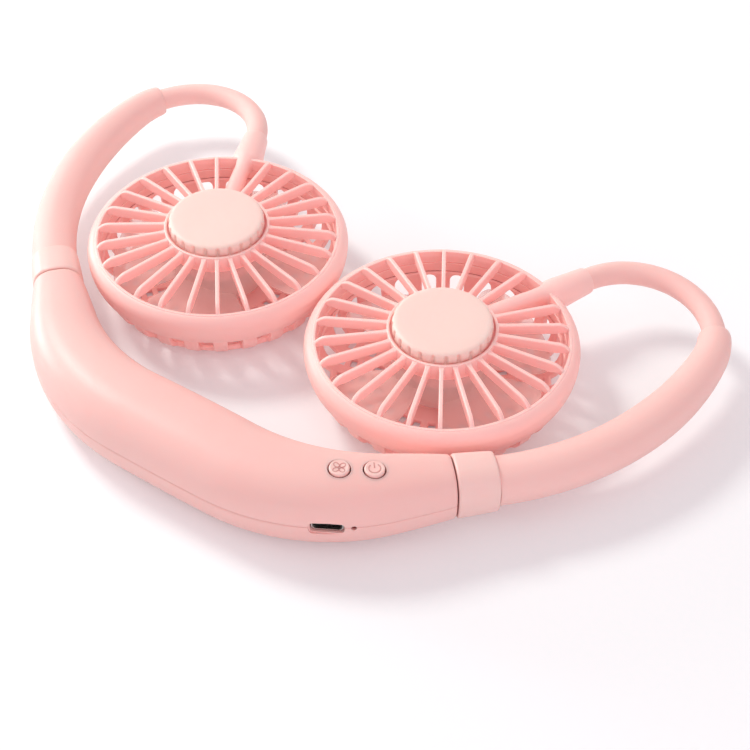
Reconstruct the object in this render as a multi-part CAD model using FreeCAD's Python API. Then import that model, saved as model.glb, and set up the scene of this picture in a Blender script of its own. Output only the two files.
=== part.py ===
import FreeCAD, Part
import math
import os

os.makedirs("parts", exist_ok=True)

# Driving dimensions, in millimetres and degrees. X is to the wearer's right, Y to the open front,
# Z up. The origin is on the neckband's flat underside, at the middle of its back.

# Neckband path: half of it, from the middle of the back to the right end.
neck_straight = 14.0
neck_bend_radius = 52.0
neck_bend_angle = 43.2
neck_end_straight = 15.2

# Neckband section, a superellipse that tapers from the middle to the ends.
body_mid_width = 23.0
body_mid_height = 21.8
body_end_width = 13.0
body_end_height = 15.0
body_roundness = 2.6
body_section_points = 24
width_taper = 2.3
height_taper = 2.2
rest_flat = 0.3
shell_wall = 1.8
lip_wall = 0.85
lip_height = 1.2
lip_clearance = 0.05

# Controls. Each place is measured back along the path from the neckband's right end.
button_radius = 2.6
button_gap = 0.3
button_proud = 0.5
button_edge = 0.35
button_travel = 0.6
button_play = 0.1
button_flange_width = 0.6
button_flange_height = 0.8
button_flange_drop = 0.75
button_rod_radius = 1.4
speed_from_end = 26.5
power_from_end = 18.4
port_from_end = 28.4
light_from_end = 23.2
board_from_end = 24.6
port_width = 7.5
port_height = 2.5
port_depth = 5.4
port_sunk = 0.3
port_skin = 0.3
port_gap = 0.25
port_chamfer = 0.8
port_hole_round = 0.6
port_back = 0.8
tongue_width = 3.75
tongue_height = 0.7
tongue_back = 0.9
light_radius = 1.0
light_sunk = 0.2
light_foot_length = 2.4
light_foot_width = 1.6
light_foot_rise = 0.6
board_length = 20.0
board_inner = 5.0
board_outer = 5.2
board_thickness = 1.0
board_post_radius = 1.5
board_post_reach = 7.5
switch_side = 4.5
switch_height = 3.5
switch_stem_radius = 1.6
switch_stem_height = 1.0

# Battery, its leads and the shell screws.
battery_length = 42.0
battery_side_room = 3.4
battery_height_room = 7.4
battery_edge = 2.0
battery_shift = 0.3
battery_rib = 12.0
rib_thickness = 1.5
rib_length = 16.0
strap_length = 10.0
battery_lead_radius = 0.6
battery_lead_pitch = 1.5
battery_lead_out = 4.4
battery_lead_rise = 1.0
battery_lead_stub = 2.0
solder_out = 2.3
screw_from_battery = 8.0
screw_radius = 0.95
screw_head_radius = 1.9
screw_head_height = 1.3
screw_length = 8.0
screw_seat = 3.4
screw_slot_length = 2.4
screw_slot_width = 0.5
screw_slot_depth = 0.7
screw_bite = 0.05
screw_hole_room = 0.15
screw_head_room = 0.2
boss_meet = 6.1
boss_gap = 0.1
boss_radius = 2.4
foot_radius = 3.2

# Arms: a thick sleeve that steps down to a thin tube round a bendable core.
collar_length = 10.0
collar_gap = 0.3
collar_proud = 0.2
collar_barrel = 0.3
collar_tip_width = 12.4
collar_tip_height = 13.8
arm_lead_share = 0.527
sleeve_overrun = 9.0
sleeve_start_radius = 5.9
sleeve_mid_radius = 5.7
sleeve_end_radius = 4.3
sleeve_fall = 1.6
spigot_radius = 3.5
spigot_flange_radius = 4.3
spigot_flange_width = 1.4
spigot_flange_gap = 0.1
tube_radius = 3.0
core_radius = 2.2
core_bore_radius = 1.5
lead_radius = 0.8
lead_bore_room = 0.4
lead_bend = 5.0
lead_head_bend = 6.0
lead_gap = 0.3
lead_out = -4.3
lead_throat = 6.5
lead_back_shares = (0.75, 0.48, 0.0, -0.48, -0.75, -1.03)
# The left lead's descent: shares of the neckband's half length, of the outward shift and of the rise.
lead_descent = ((0.6, 0.75, 0.75), (0.77, 0.28, 0.29))
fit_clearance = 0.05

# Fan head. Heights are above the table the object rests on.
head_gap = 1.3
head_arm_gap = 2.7
head_neck_gap = 13.7
head_turn = 24.0
head_radius = 34.6
bulge_height = 13.6
lip_top = 17.5
lip_inset = 2.0
lip_land = 0.9
ring_bottom = 9.0
ring_bottom_inset = 1.1
ring_wall = 1.3
socket_height = 14.3
socket_stand = 10.4
socket_root_radius = 4.6
socket_tip_radius = 4.1
ferrule_length = 5.0
ferrule_inset = 1.5
ferrule_flange_radius = 3.7
ferrule_flange_width = 1.0
ferrule_flange_play = 0.1

# Front grille.
vane_places = 26
vane_thickness = 1.0
vane_depth = 3.1
vane_drop = 0.3
vane_knee_inset = 2.7
vane_knee_rise = 1.8
vane_knee_bulge = 0.75
vane_end_depth = 1.9
hub_top = 20.5
hub_radius = 13.9
hub_wall = 1.0
hub_bottom = 15.6
hub_floor_bottom = 17.6
hub_floor = 1.0
channel_rim_width = 3.8
channel_rim_height = 4.9
channel_hub_width = 4.4
channel_hub_height = 5.6
channel_rim_sink = 1.3
channel_hub_sink = 3.6
shoulder_bury = 1.0
shoulder_slim = 0.8

# Scent cap and pad.
cap_top = 22.8
cap_thickness = 1.5
cap_edge = 1.2
cap_gap = 0.3
cap_skirt_inset = 0.2
cap_skirt_wall = 1.0
cap_skirt_bottom = 19.2
cap_flutes = 24
cap_flute_radius = 0.8
cap_flute_offset = 0.25
cap_flute_height = 2.5
post_radius = 10.6
post_wall = 0.9
post_height = 2.4
tab_width = 0.55
tab_height = 0.8
lug_height = 0.7
lug_gap = 0.3
tab_span = 30.0
tab_angles = (15.0, 135.0, 255.0)
pad_height = 2.0
pad_gap = 0.15

# Motor and impeller.
motor_radius = 10.0
motor_bottom = 7.0
motor_top = 15.6
motor_edge = 0.8
motor_end_wall = 1.0
terminal_length = 4.0
terminal_width = 2.4
terminal_height = 1.4
terminal_from_rim = 2.5
pocket_wall = 1.1
pocket_bottom = 10.0
shaft_radius = 1.0
shaft_end_gap = 0.4
impeller_bottom = 3.4
impeller_floor = 1.4
impeller_wall = 1.1
impeller_gap = 0.5
impeller_top_gap = 0.6
impeller_boss_radius = 2.6
blade_count = 4
blade_sweep = 65.0
blade_pitch = 15.0
blade_thickness = 1.3
blade_height = 7.6
blade_tip_gap = 1.9
blade_corner = 5.0

# Rear guard.
guard_wall = 1.4
guard_lap = 0.75
guard_rim_gap = 0.1
guard_seat = 2.0
guard_corner = 6.0
guard_slots = 26
guard_slot_inner = 1.8
guard_slot_outer = 4.4
guard_slot_top = 8.6
guard_hub_radius = 15.0
guard_ring_count = 4
guard_ring_width = 1.5
guard_ring_first = 3.6
guard_ring_last = 2.45
guard_ring_top = 5.6
snap_length = 5.0
snap_height = 0.8
snap_depth = 0.4
snap_rise = 0.7
snap_play = 0.1
snap_angles = (45.0, 135.0, 225.0, 315.0)

# How far pieces of one moulding run into each other, and how far a cut runs past its piece.
merge = 0.2
past = 1.0

V = FreeCAD.Vector
UP = V(0, 0, 1)
ORIGIN = V(0, 0, 0)
AHEAD = V(0, 1, 0)

# Values that follow from the dimensions above.
neck_bend = math.radians(neck_bend_angle)
neck_bend_length = neck_bend_radius * neck_bend
neck_half = neck_straight + neck_bend_length + neck_end_straight
seam_height = body_mid_height / 2 - rest_flat
roof = seam_height + body_mid_height / 2
speed_station = neck_half - speed_from_end
power_station = neck_half - power_from_end
port_station = neck_half - port_from_end
light_station = neck_half - light_from_end
board_station = neck_half - board_from_end
screw_station = battery_length / 2 + screw_from_battery
battery_width = body_mid_width - 2 * shell_wall - battery_side_room
battery_thickness = body_mid_height - 2 * shell_wall - battery_height_room
battery_bottom = seam_height - battery_thickness / 2
battery_top = battery_bottom + battery_thickness
board_bottom = seam_height - port_height / 2 - board_thickness
board_top = board_bottom + board_thickness
core_clearance_radius = core_radius + fit_clearance
head_x = head_radius + head_gap / 2
socket_reach = head_radius + socket_stand
lip_radius = head_radius - lip_inset
ring_inner = lip_radius - ring_wall
guard_radius = ring_inner + guard_lap
guard_seat_radius = guard_radius + fit_clearance
pocket_radius = motor_radius + fit_clearance
pocket_outer = pocket_radius + pocket_wall
impeller_inner = pocket_outer + impeller_gap
impeller_outer = impeller_inner + impeller_wall
blade_tip = guard_radius - guard_wall - blade_tip_gap
cap_radius = hub_radius - hub_wall - cap_gap
cap_under = cap_top - cap_thickness
hub_floor_top = hub_floor_bottom + hub_floor
lead_height = hub_floor_bottom - past


def neck_frame(station):
    """Point on the neckband path, the way along it and the way out of the ring."""
    side = 1.0 if station >= 0 else -1.0
    run = abs(station)
    turn = min(max(run - neck_straight, 0.0), neck_bend_length) / neck_bend_radius
    tail = max(run - neck_straight - neck_bend_length, 0.0)
    x = min(run, neck_straight) + neck_bend_radius * math.sin(turn) + tail * math.cos(turn)
    y = neck_bend_radius * (1 - math.cos(turn)) + tail * math.sin(turn)
    along = V(math.cos(turn), side * math.sin(turn), 0)
    out = V(side * math.sin(turn), -math.cos(turn), 0)
    return V(side * x, y, seam_height), along, out


# Each head clears the middle of the neckband and the line of its own arm's root.
neck_end, neck_end_way, neck_end_out = neck_frame(neck_half)
arm_stand = head_radius + sleeve_start_radius + head_arm_gap
clear_of_arm = neck_end.y + (arm_stand - neck_end_out.x * (neck_end.x - head_x)) / -neck_end_out.y
clear_of_neck = body_mid_width / 2 + head_neck_gap + head_radius
head_y = max(clear_of_arm, clear_of_neck)


def neck_at(station, out_by, height):
    point, along, out = neck_frame(station)
    return V(point.x + out.x * out_by, point.y + out.y * out_by, height)


def body_width(station):
    share = 1 - min(abs(station) / neck_half, 1.0) ** width_taper
    return body_end_width + (body_mid_width - body_end_width) * share


def body_height(station):
    share = 1 - min(abs(station) / neck_half, 1.0) ** height_taper
    return body_end_height + (body_mid_height - body_end_height) * share


def oval(centre, side_way, width, height):
    """Closed superellipse section, upright and across the path."""
    points = []
    for index in range(body_section_points):
        angle = 2 * math.pi * index / body_section_points
        c = math.cos(angle)
        s = math.sin(angle)
        across = math.copysign(abs(c) ** (2 / body_roundness), c) * width / 2
        rise = math.copysign(abs(s) ** (2 / body_roundness), s) * height / 2
        points.append(centre + side_way * across + UP * rise)
    curve = Part.BSplineCurve()
    curve.interpolate(points, PeriodicFlag=True)
    return Part.Wire([curve.toShape()])


def neck_solid(inset):
    """The neckband's form, taken in by a wall."""
    reach = neck_half - inset
    fractions = (0.0, 0.1, 0.2, 0.3, 0.42, 0.54, 0.66, 0.78, 0.89, 1.0)
    stations = [-reach * f for f in reversed(fractions[1:])] + [reach * f for f in fractions]
    wires = []
    for station in stations:
        point, along, out = neck_frame(station)
        width = body_width(station) - 2 * inset
        wires.append(oval(point, out, width, body_height(station) - 2 * inset))
    return Part.makeLoft(wires, True, False)


def block(centre, along, out, length, width, bottom, top):
    """Upright box round a point, turned to the path."""
    a = along * (length / 2)
    b = out * (width / 2)
    base = V(centre.x, centre.y, bottom)
    corners = [base + a + b, base - a + b, base - a - b, base + a - b]
    face = Part.Face(Part.makePolygon(corners + [corners[0]]))
    return face.extrude(UP * (top - bottom))


def post(point, radius, bottom, top):
    return Part.makeCylinder(radius, top - bottom, V(point.x, point.y, bottom))


def arc_between(start, corner, end):
    """Arc tangent to the two lines from a corner."""
    middle = (start + end) * 0.5
    chord = (end - start).Length / 2
    rise = (corner - middle).Length
    sag = chord * math.tan(math.atan2(rise, chord) / 2)
    top = middle + (corner - middle) * (sag / rise)
    return Part.Arc(start, top, end).toShape()


def biarc(start, start_way, end, end_way, first_reach):
    """Two tangent arcs from one point and direction to another."""
    gap = end - start
    top = gap.dot(gap) / 2 - first_reach * gap.dot(start_way)
    bottom = gap.dot(end_way) - first_reach * (start_way.dot(end_way) - 1)
    second_reach = top / bottom
    corner_one = start + start_way * first_reach
    corner_two = end - end_way * second_reach
    joint = corner_one + (corner_two - corner_one) * (first_reach / (first_reach + second_reach))
    return [arc_between(start, corner_one, joint), arc_between(joint, corner_two, end)]


def along_edges(edges, distance):
    """Point and direction at a distance along a chain of edges."""
    for edge in edges[:-1]:
        if distance <= edge.Length:
            break
        distance = distance - edge.Length
    else:
        edge = edges[-1]
    place = edge.getParameterByLength(min(max(distance, 0.0), edge.Length))
    return edge.valueAt(place), edge.tangentAt(place)


def part_of_arc(edge, start, end):
    points = [along_edges([edge], d)[0] for d in (start, (start + end) / 2, end)]
    return Part.Arc(*points).toShape()


def line(start, end):
    return Part.makeLine(start, end)


def rounded_route(points, radius):
    """Straight runs joined by tangent arcs."""
    straight = math.radians(89.7)
    edges = []
    start = points[0]
    for before, corner, after in zip(points, points[1:], points[2:]):
        back = (before - corner).normalize()
        onward = (after - corner).normalize()
        half = back.getAngle(onward) / 2
        if half > straight:
            continue
        room = 0.45 * min((before - corner).Length, (after - corner).Length)
        cut = min(radius / math.tan(half), room)
        first = corner + back * cut
        last = corner + onward * cut
        edges.append(line(start, first))
        edges.append(arc_between(first, corner, last))
        start = last
    edges.append(line(start, points[-1]))
    return edges


def pipe(edges, radius):
    start, way = along_edges(edges, 0.0)
    profile = Part.Wire([Part.Circle(start, way, radius).toShape()])
    return Part.Wire(edges).makePipeShell([profile], True, False)


def revolve(points):
    """Ring or disc from a closed profile of radius and height pairs; a triple is an arc's middle."""
    edges = []
    spots = [V(p[0], 0, p[1]) for p in points]
    last = spots[0]
    index = 1
    while index <= len(spots):
        spot = spots[index % len(spots)]
        if index < len(points) and len(points[index]) == 3:
            end = spots[(index + 1) % len(spots)]
            edges.append(Part.Arc(last, spot, end).toShape())
            last = end
            index += 2
            continue
        edges.append(line(last, spot))
        last = spot
        index += 1
    return Part.Face(Part.Wire(edges)).revolve(ORIGIN, UP, 360)


def disc(radius, bottom, top):
    return Part.makeCylinder(radius, top - bottom, V(0, 0, bottom))


def tube(outer, inner, bottom, top):
    return disc(outer, bottom, top).cut(disc(inner, bottom - past, top + past))


def turned(shape, angle):
    copy = shape.copy()
    copy.rotate(ORIGIN, UP, angle)
    return copy


def around(shape, count, skip=()):
    return [turned(shape, 360.0 * index / count) for index in range(count) if index not in skip]


def tidy(shape):
    return shape.removeSplitter()


def flip(point):
    return V(-point.x, point.y, point.z)


def save(name, shape):
    if shape.ShapeType == "Compound" and len(shape.Solids) == 1:
        shape = shape.Solids[0]
    shape.exportStep("parts/" + name + ".step")


def save_pair(name, right_shape):
    """The right piece, and its mirror image on the left."""
    save("right_" + name, right_shape)
    save("left_" + name, right_shape.mirror(ORIGIN, V(1, 0, 0)))


# Neckband shells.
outer_form = neck_solid(0.0)
inner_form = neck_solid(shell_wall)
lip_form = neck_solid(shell_wall - lip_wall)
lip_space = neck_solid(shell_wall - lip_wall - lip_clearance)
span = 4 * neck_half
corner_x = -span / 2
above = Part.makeBox(span, span, span, V(corner_x, corner_x, seam_height))
below = Part.makeBox(span, span, seam_height, V(corner_x, corner_x, 0))
lip_band = Part.makeBox(span, span, lip_height, V(corner_x, corner_x, seam_height))
lip_space_band = Part.makeBox(span, span, lip_height + lip_clearance, V(corner_x, corner_x, seam_height))

top_shell = outer_form.common(above).cut(inner_form)
bottom_shell = outer_form.common(below).cut(inner_form)
top_adds = []
bottom_adds = [lip_form.common(lip_band).cut(inner_form)]
top_cuts = [lip_space.common(lip_space_band).cut(inner_form)]
bottom_cuts = []

for side in (-1, 1):
    spot = neck_at(side * screw_station, 0, 0)
    top_adds.append(post(spot, boss_radius, boss_meet, roof).common(inner_form.fuse(top_shell)))
    bottom_adds.append(post(spot, foot_radius, 0, boss_meet - boss_gap).common(outer_form))
    top_cuts.append(post(spot, screw_radius - screw_bite, boss_meet - past, boss_meet + screw_length))
    bottom_cuts.append(post(spot, screw_radius + screw_hole_room, 0, roof))
    bottom_cuts.append(post(spot, screw_head_radius + screw_head_room, -past, screw_seat))
    rib_start = V(side * battery_rib - rib_thickness / 2, -rib_length / 2, 0)
    rib = Part.makeBox(rib_thickness, rib_length, battery_bottom, rib_start)
    bottom_adds.append(rib.common(inner_form))
    strap_start = V(rib_start.x, rib_start.y, battery_top)
    strap = Part.makeBox(rib_thickness, strap_length, roof - battery_top, strap_start)
    top_adds.append(strap.common(inner_form))
    end_point, along, out = neck_frame(side * neck_half)
    way = along * side
    hole_start = end_point - way * (shell_wall + past)
    hole = Part.makeCylinder(spigot_radius + fit_clearance, shell_wall + 2 * past, hole_start, way)
    top_cuts.append(hole)
    bottom_cuts.append(hole)

board_point, board_along, board_out = neck_frame(board_station)
for shift in (-board_post_reach, board_post_reach):
    stand = board_point + board_along * shift
    bottom_adds.append(post(stand, board_post_radius, 0, board_bottom).common(inner_form))

port_point, port_along, port_out = neck_frame(port_station)
port_mouth = body_width(port_station) / 2 - port_sunk
port_hole = block(port_point + port_out * port_mouth, port_along, port_out,
                  port_width + 2 * port_gap, port_depth,
                  seam_height - port_height / 2 - port_gap, seam_height + port_height / 2 + port_gap)
through_edges = [edge for edge in port_hole.Edges
                 if abs(edge.tangentAt(edge.FirstParameter).dot(port_out)) > 0.99]
port_hole = port_hole.makeFillet(port_hole_round, through_edges)
light_point, light_along, light_out = neck_frame(light_station)
light_face = body_width(light_station) / 2
light_hole = Part.makeCylinder(light_radius + fit_clearance, light_face,
                               light_point + light_out * board_outer, light_out)
top_cuts += [port_hole, light_hole]
bottom_cuts += [port_hole, light_hole]

button_places = []
for name, station in (("speed", speed_station), ("power", power_station)):
    spot = neck_at(station, 0, 0)
    crown = seam_height + body_height(station) / 2
    top_cuts.append(post(spot, button_radius + button_gap, crown - 2 * shell_wall, crown + past))
    button_places.append((name, spot, crown))

save("neckband_top_shell", top_shell.fuse(top_adds).cut(top_cuts))
save("neckband_bottom_shell", bottom_shell.fuse(bottom_adds).cut(bottom_cuts))

# Board, port, light, switches and buttons.
board_middle = board_point + board_out * ((board_outer - board_inner) / 2)
board = block(board_middle, board_along, board_out, board_length, board_inner + board_outer,
              board_bottom, board_top)
save("control_board", board)


def port_outline(inset, start):
    """Six-sided receptacle section, its two lower corners cut off."""
    half = port_width / 2 - inset
    low = board_top + inset
    high = board_top + port_height - inset
    cut = port_chamfer - inset
    corners = [(-half, high), (half, high), (half, low + cut), (half - cut, low), (cut - half, low),
               (-half, low + cut)]
    base = port_point + port_out * start
    points = [V(base.x, base.y, 0) + port_along * a + UP * z for a, z in corners]
    return Part.Face(Part.makePolygon(points + [points[0]]))


port_inner_end = port_mouth - port_depth
port_body = port_outline(0.0, port_inner_end).extrude(port_out * port_depth)
port_void = port_outline(port_skin, port_inner_end + port_back).extrude(port_out * port_depth)
tongue_length = port_depth - tongue_back
tongue_middle = port_point + port_out * (port_inner_end + tongue_length / 2)
tongue_top = board_top + port_height - port_skin
tongue = block(tongue_middle, port_along, port_out, tongue_width, tongue_length,
               tongue_top - tongue_height, tongue_top)
save("charge_port", tidy(port_body.cut(port_void).fuse(tongue)))

light_start = light_point + light_out * (board_outer - light_foot_width / 2)
light_length = light_face - light_sunk - board_outer + light_foot_width / 2
light = Part.makeCylinder(light_radius, light_length, light_start, light_out)
foot = block(light_start + light_out * (light_foot_width / 2), light_along, light_out, light_foot_length,
             light_foot_width, board_top, seam_height + light_foot_rise)
save("charge_light", tidy(light.fuse(foot)))

for name, spot, crown in button_places:
    switch_top = board_top + switch_height
    stem_top = switch_top + switch_stem_height
    base = block(spot, board_along, board_out, switch_side, switch_side, board_top, switch_top)
    stem = post(spot, switch_stem_radius, board_top, stem_top)
    save(name + "_switch", tidy(base.fuse(stem)))
    flange_top = crown - shell_wall - button_flange_drop
    flange_bottom = flange_top - button_flange_height
    cap = post(spot, button_radius, flange_bottom, crown + button_proud)
    cap = cap.makeFillet(button_edge, [cap.Edges[0]])
    flange = post(spot, button_radius + button_flange_width, flange_bottom, flange_top)
    rod = post(spot, button_rod_radius, stem_top + button_travel + button_play, flange_top)
    save(name + "_button", tidy(cap.fuse([flange, rod])))

# Battery with its leads, and the shell screws.
battery = Part.makeBox(battery_length, battery_width, battery_thickness,
                       V(-battery_length / 2, battery_shift - battery_width / 2, battery_bottom))
save("battery_pouch", battery.makeFillet(battery_edge, battery.Edges))

battery_lead_height = seam_height + battery_lead_rise
board_edge = board_station - board_length / 2
solder_height = board_top + battery_lead_radius
leads = []
for shift in (0.0, battery_lead_pitch):
    tab = V(battery_length / 2, battery_shift - battery_width / 4 - shift, battery_lead_height)
    points = [tab, tab + V(battery_lead_stub, 0, 0),
              neck_at(screw_station, battery_lead_out + shift, battery_lead_height),
              neck_at(board_edge - battery_lead_radius, solder_out + shift, solder_height),
              neck_at(board_edge + battery_lead_pitch, solder_out + shift, solder_height)]
    leads.append(pipe(rounded_route(points, lead_bend), battery_lead_radius))
save("battery_lead", Part.makeCompound(leads))

for name, side in (("left", -1), ("right", 1)):
    spot = neck_at(side * screw_station, 0, 0)
    head = post(spot, screw_head_radius, screw_seat - screw_head_height, screw_seat)
    slot_top = screw_seat - screw_head_height + screw_slot_depth
    cross = [block(spot, V(1, 0, 0), AHEAD, screw_slot_length, screw_slot_width, 0, slot_top),
             block(spot, AHEAD, V(1, 0, 0), screw_slot_length, screw_slot_width, 0, slot_top)]
    shank = post(spot, screw_radius - screw_bite - fit_clearance / 5, screw_seat, screw_seat + screw_length)
    save(name + "_shell_screw", tidy(head.cut(cross).fuse(shank)))

# Collar and arm, on the right; the left is the mirror image.
collar_start = neck_end + neck_end_way * collar_gap
collar_end = collar_start + neck_end_way * collar_length
collar_middle = (collar_start + collar_end) * 0.5
barrel_width = (body_end_width + collar_tip_width) / 2 + collar_barrel
barrel_height = (body_end_height + collar_tip_height) / 2 + collar_barrel
collar = Part.makeLoft([
    oval(collar_start, neck_end_out, body_end_width + collar_proud, body_end_height + collar_proud),
    oval(collar_middle, neck_end_out, barrel_width, barrel_height),
    oval(collar_end, neck_end_out, collar_tip_width, collar_tip_height)], True, False)
collar = collar.cut(Part.makeCylinder(spigot_radius + fit_clearance, collar_length + 2 * past,
                                      collar_start - neck_end_way * past, neck_end_way))
save_pair("collar", collar)

turn = math.radians(head_turn)
head_way = V(math.sin(turn), math.cos(turn), 0)
head_centre = V(head_x, head_y, socket_height)
socket_mouth = head_centre + head_way * socket_reach
arm_start = collar_end
arm_lead_length = arm_lead_share * (socket_mouth - arm_start).Length
arm_edges = biarc(arm_start, neck_end_way, socket_mouth, head_way * -1, arm_lead_length)
sleeve_length = arm_edges[0].Length + sleeve_overrun

sleeve_wires = []
for share in (0.0, 0.12, 0.3, 0.5, 0.7, 0.85, 0.95, 1.0):
    place, way = along_edges(arm_edges, share * sleeve_length)
    if share < 0.5:
        radius = sleeve_start_radius + (sleeve_mid_radius - sleeve_start_radius) * 2 * share
    else:
        fall = (2 * share - 1) ** sleeve_fall
        radius = sleeve_mid_radius + (sleeve_end_radius - sleeve_mid_radius) * fall
    sleeve_wires.append(Part.Wire([Part.Circle(place, way, radius).toShape()]))
sleeve = Part.makeLoft(sleeve_wires, True, False)
spigot_inner = neck_end - neck_end_way * (shell_wall + spigot_flange_width + spigot_flange_gap)
spigot_length = (arm_start - spigot_inner).Length
spigot = Part.makeCylinder(spigot_radius, spigot_length + merge, spigot_inner, neck_end_way)
flange = Part.makeCylinder(spigot_flange_radius, spigot_flange_width, spigot_inner, neck_end_way)
sleeve = sleeve.fuse([spigot, flange])
bore_line = line(spigot_inner - neck_end_way * past, arm_start)
bore_hook = part_of_arc(arm_edges[1], 0.0, sleeve_overrun + past)
sleeve = sleeve.cut(pipe([bore_line, arm_edges[0], bore_hook], core_clearance_radius))
save_pair("arm_sleeve", sleeve)

tube_end = head_centre + head_way * (socket_reach - ferrule_inset)
tube_hook = part_of_arc(arm_edges[1], sleeve_overrun, arm_edges[1].Length)
tube_run = [tube_hook, line(socket_mouth, tube_end)]
save_pair("flex_tube", pipe(tube_run, tube_radius).cut(pipe(tube_run, core_clearance_radius)))

ferrule_end = tube_end - head_way * ferrule_length
core_end = ferrule_end + head_way * ferrule_flange_width
core_run = [line(spigot_inner, arm_start)] + arm_edges + [line(socket_mouth, core_end)]
save_pair("gooseneck", pipe(core_run, core_radius).cut(pipe(core_run, core_bore_radius)))

ferrule = Part.makeCylinder(tube_radius, ferrule_length, ferrule_end, head_way)
ferrule_flange = Part.makeCylinder(ferrule_flange_radius, ferrule_flange_width, ferrule_end, head_way)
core_seat = Part.makeCylinder(core_clearance_radius, ferrule_length, core_end, head_way)
lead_way = Part.makeCylinder(core_bore_radius, ferrule_length, ferrule_end - head_way * past, head_way)
save_pair("tube_ferrule", tidy(ferrule.fuse(ferrule_flange).cut([core_seat, lead_way])))

# Motor leads, whole, from the board to each motor.
pad_run = board_length / 2 - battery_lead_pitch
pad_leave = board_length / 2 + past
lead_side = -(switch_side / 2 + lead_radius + lead_gap)
lead_board = board_top + lead_radius
lead_over = battery_top + lead_radius + lead_gap
throat = neck_half - lead_throat
right_points = [neck_at(board_station + pad_run, lead_side, lead_board),
                neck_at(board_station + pad_leave, lead_side, lead_board),
                neck_at(throat, 0, seam_height), arm_start]
left_points = [neck_at(board_station - pad_run, lead_side, lead_board),
               neck_at(board_station - pad_leave, lead_side, lead_board),
               neck_at(screw_station + boss_radius, lead_out, lead_over)]
for share in lead_back_shares:
    left_points.append(neck_at(share * screw_station, lead_out, lead_over))
for station_share, out_share, rise_share in lead_descent:
    left_points.append(neck_at(-station_share * neck_half, lead_out * out_share,
                               seam_height + rise_share * (lead_over - seam_height)))
left_points += [neck_at(-throat, 0, seam_height), flip(arm_start)]

# The lead's way through the head, from the socket's mouth to the motor, as reach and height.
head_steps = ((socket_reach, socket_height), (head_radius - lip_inset, socket_height),
              (hub_radius + 3 * merge, lead_height), (motor_radius - terminal_from_rim + past, lead_height))
head_axis = V(head_x, head_y, 0)
head_points = [head_axis + head_way * reach + UP * height for reach, height in head_steps]
head_run = rounded_route(head_points, lead_head_bend)
save("right_motor_lead", pipe(rounded_route(right_points, lead_bend) + arm_edges + head_run, lead_radius))
left_arm_edges = []
for edge in arm_edges:
    places = [flip(along_edges([edge], edge.Length * share)[0]) for share in (0.0, 0.5, 1.0)]
    left_arm_edges.append(Part.Arc(*places).toShape())
left_head_run = rounded_route([flip(point) for point in head_points], lead_head_bend)
save("left_motor_lead", pipe(rounded_route(left_points, lead_bend) + left_arm_edges + left_head_run,
                             lead_radius))


def seat_head(shape):
    """Moves a piece from the head's own axes, wire channel along Y, to its place on the right."""
    placed = turned(shape, -head_turn)
    placed.translate(V(head_x, head_y, 0))
    return placed


# Front grille: ring, vanes, hub, wire channel and socket in one moulding.
ring = revolve([
    (lip_radius, lip_top),
    (head_radius - lip_inset / 4, (3 * lip_top + 2 * bulge_height) / 5, "arc"), (head_radius, bulge_height),
    (head_radius - ring_bottom_inset / 4, (bulge_height + ring_bottom) / 2, "arc"),
    (head_radius - ring_bottom_inset, ring_bottom),
    (guard_seat_radius, ring_bottom), (guard_seat_radius, ring_bottom + guard_seat),
    (ring_inner, ring_bottom + guard_seat), (ring_inner, lip_top - guard_seat),
    (lip_radius - lip_land, lip_top)])

# Each vane runs almost straight out from the hub, then drops over a knee to the lip.
vane_root = hub_radius - hub_wall / 2
vane_end = ring_inner + ring_wall / 2
knee = V(ring_inner - vane_knee_inset, 0, lip_top + vane_knee_rise)
root_top = V(vane_root, 0, hub_top - vane_drop)
root_low = root_top - UP * vane_depth
end_low = V(vane_end, 0, lip_top - vane_end_depth - merge)
end_top = V(vane_end, 0, lip_top - merge)
knee_chord = (end_top - knee).normalize()
knee_middle = (knee + end_top) * 0.5 + V(-knee_chord.z, 0, knee_chord.x) * vane_knee_bulge
vane_wire = Part.Wire([
    line(root_low, root_top), line(root_top, knee), Part.Arc(knee, knee_middle, end_top).toShape(),
    line(end_top, end_low), line(end_low, knee - UP * vane_depth), line(knee - UP * vane_depth, root_low)])
vane = Part.Face(vane_wire).extrude(AHEAD * vane_thickness)
vane.translate(AHEAD * (-vane_thickness / 2))
vanes = around(turned(vane, 90), vane_places, skip=(0,))

hub = tube(hub_radius, hub_radius - hub_wall, hub_bottom, hub_top)
hub_plate = disc(hub_radius - merge, hub_floor_bottom, hub_floor_top)
pocket = tube(pocket_outer, pocket_radius, pocket_bottom, hub_floor_bottom + merge)
post_top = hub_floor_top + post_height
cap_post = tube(post_radius, post_radius - post_wall, hub_floor_top - merge, post_top)
tab_ring = tube(post_radius + tab_width, post_radius - merge, post_top - tab_height, post_top)
tab_wedge = Part.makeCylinder(hub_radius, cap_top, ORIGIN, UP, tab_span)
tabs = [tab_ring.common(turned(tab_wedge, angle)) for angle in tab_angles]


def stadium(reach, middle, width, height):
    """Upright rounded section across the wire channel."""
    half = width / 2
    rise = max(height / 2 - half, fit_clearance)
    low = middle - rise
    high = middle + rise
    return Part.Wire([
        line(V(half, reach, low), V(half, reach, high)),
        Part.Arc(V(half, reach, high), V(0, reach, high + half), V(-half, reach, high)).toShape(),
        line(V(-half, reach, high), V(-half, reach, low)),
        Part.Arc(V(-half, reach, low), V(0, reach, low - half), V(half, reach, low)).toShape()])


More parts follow.
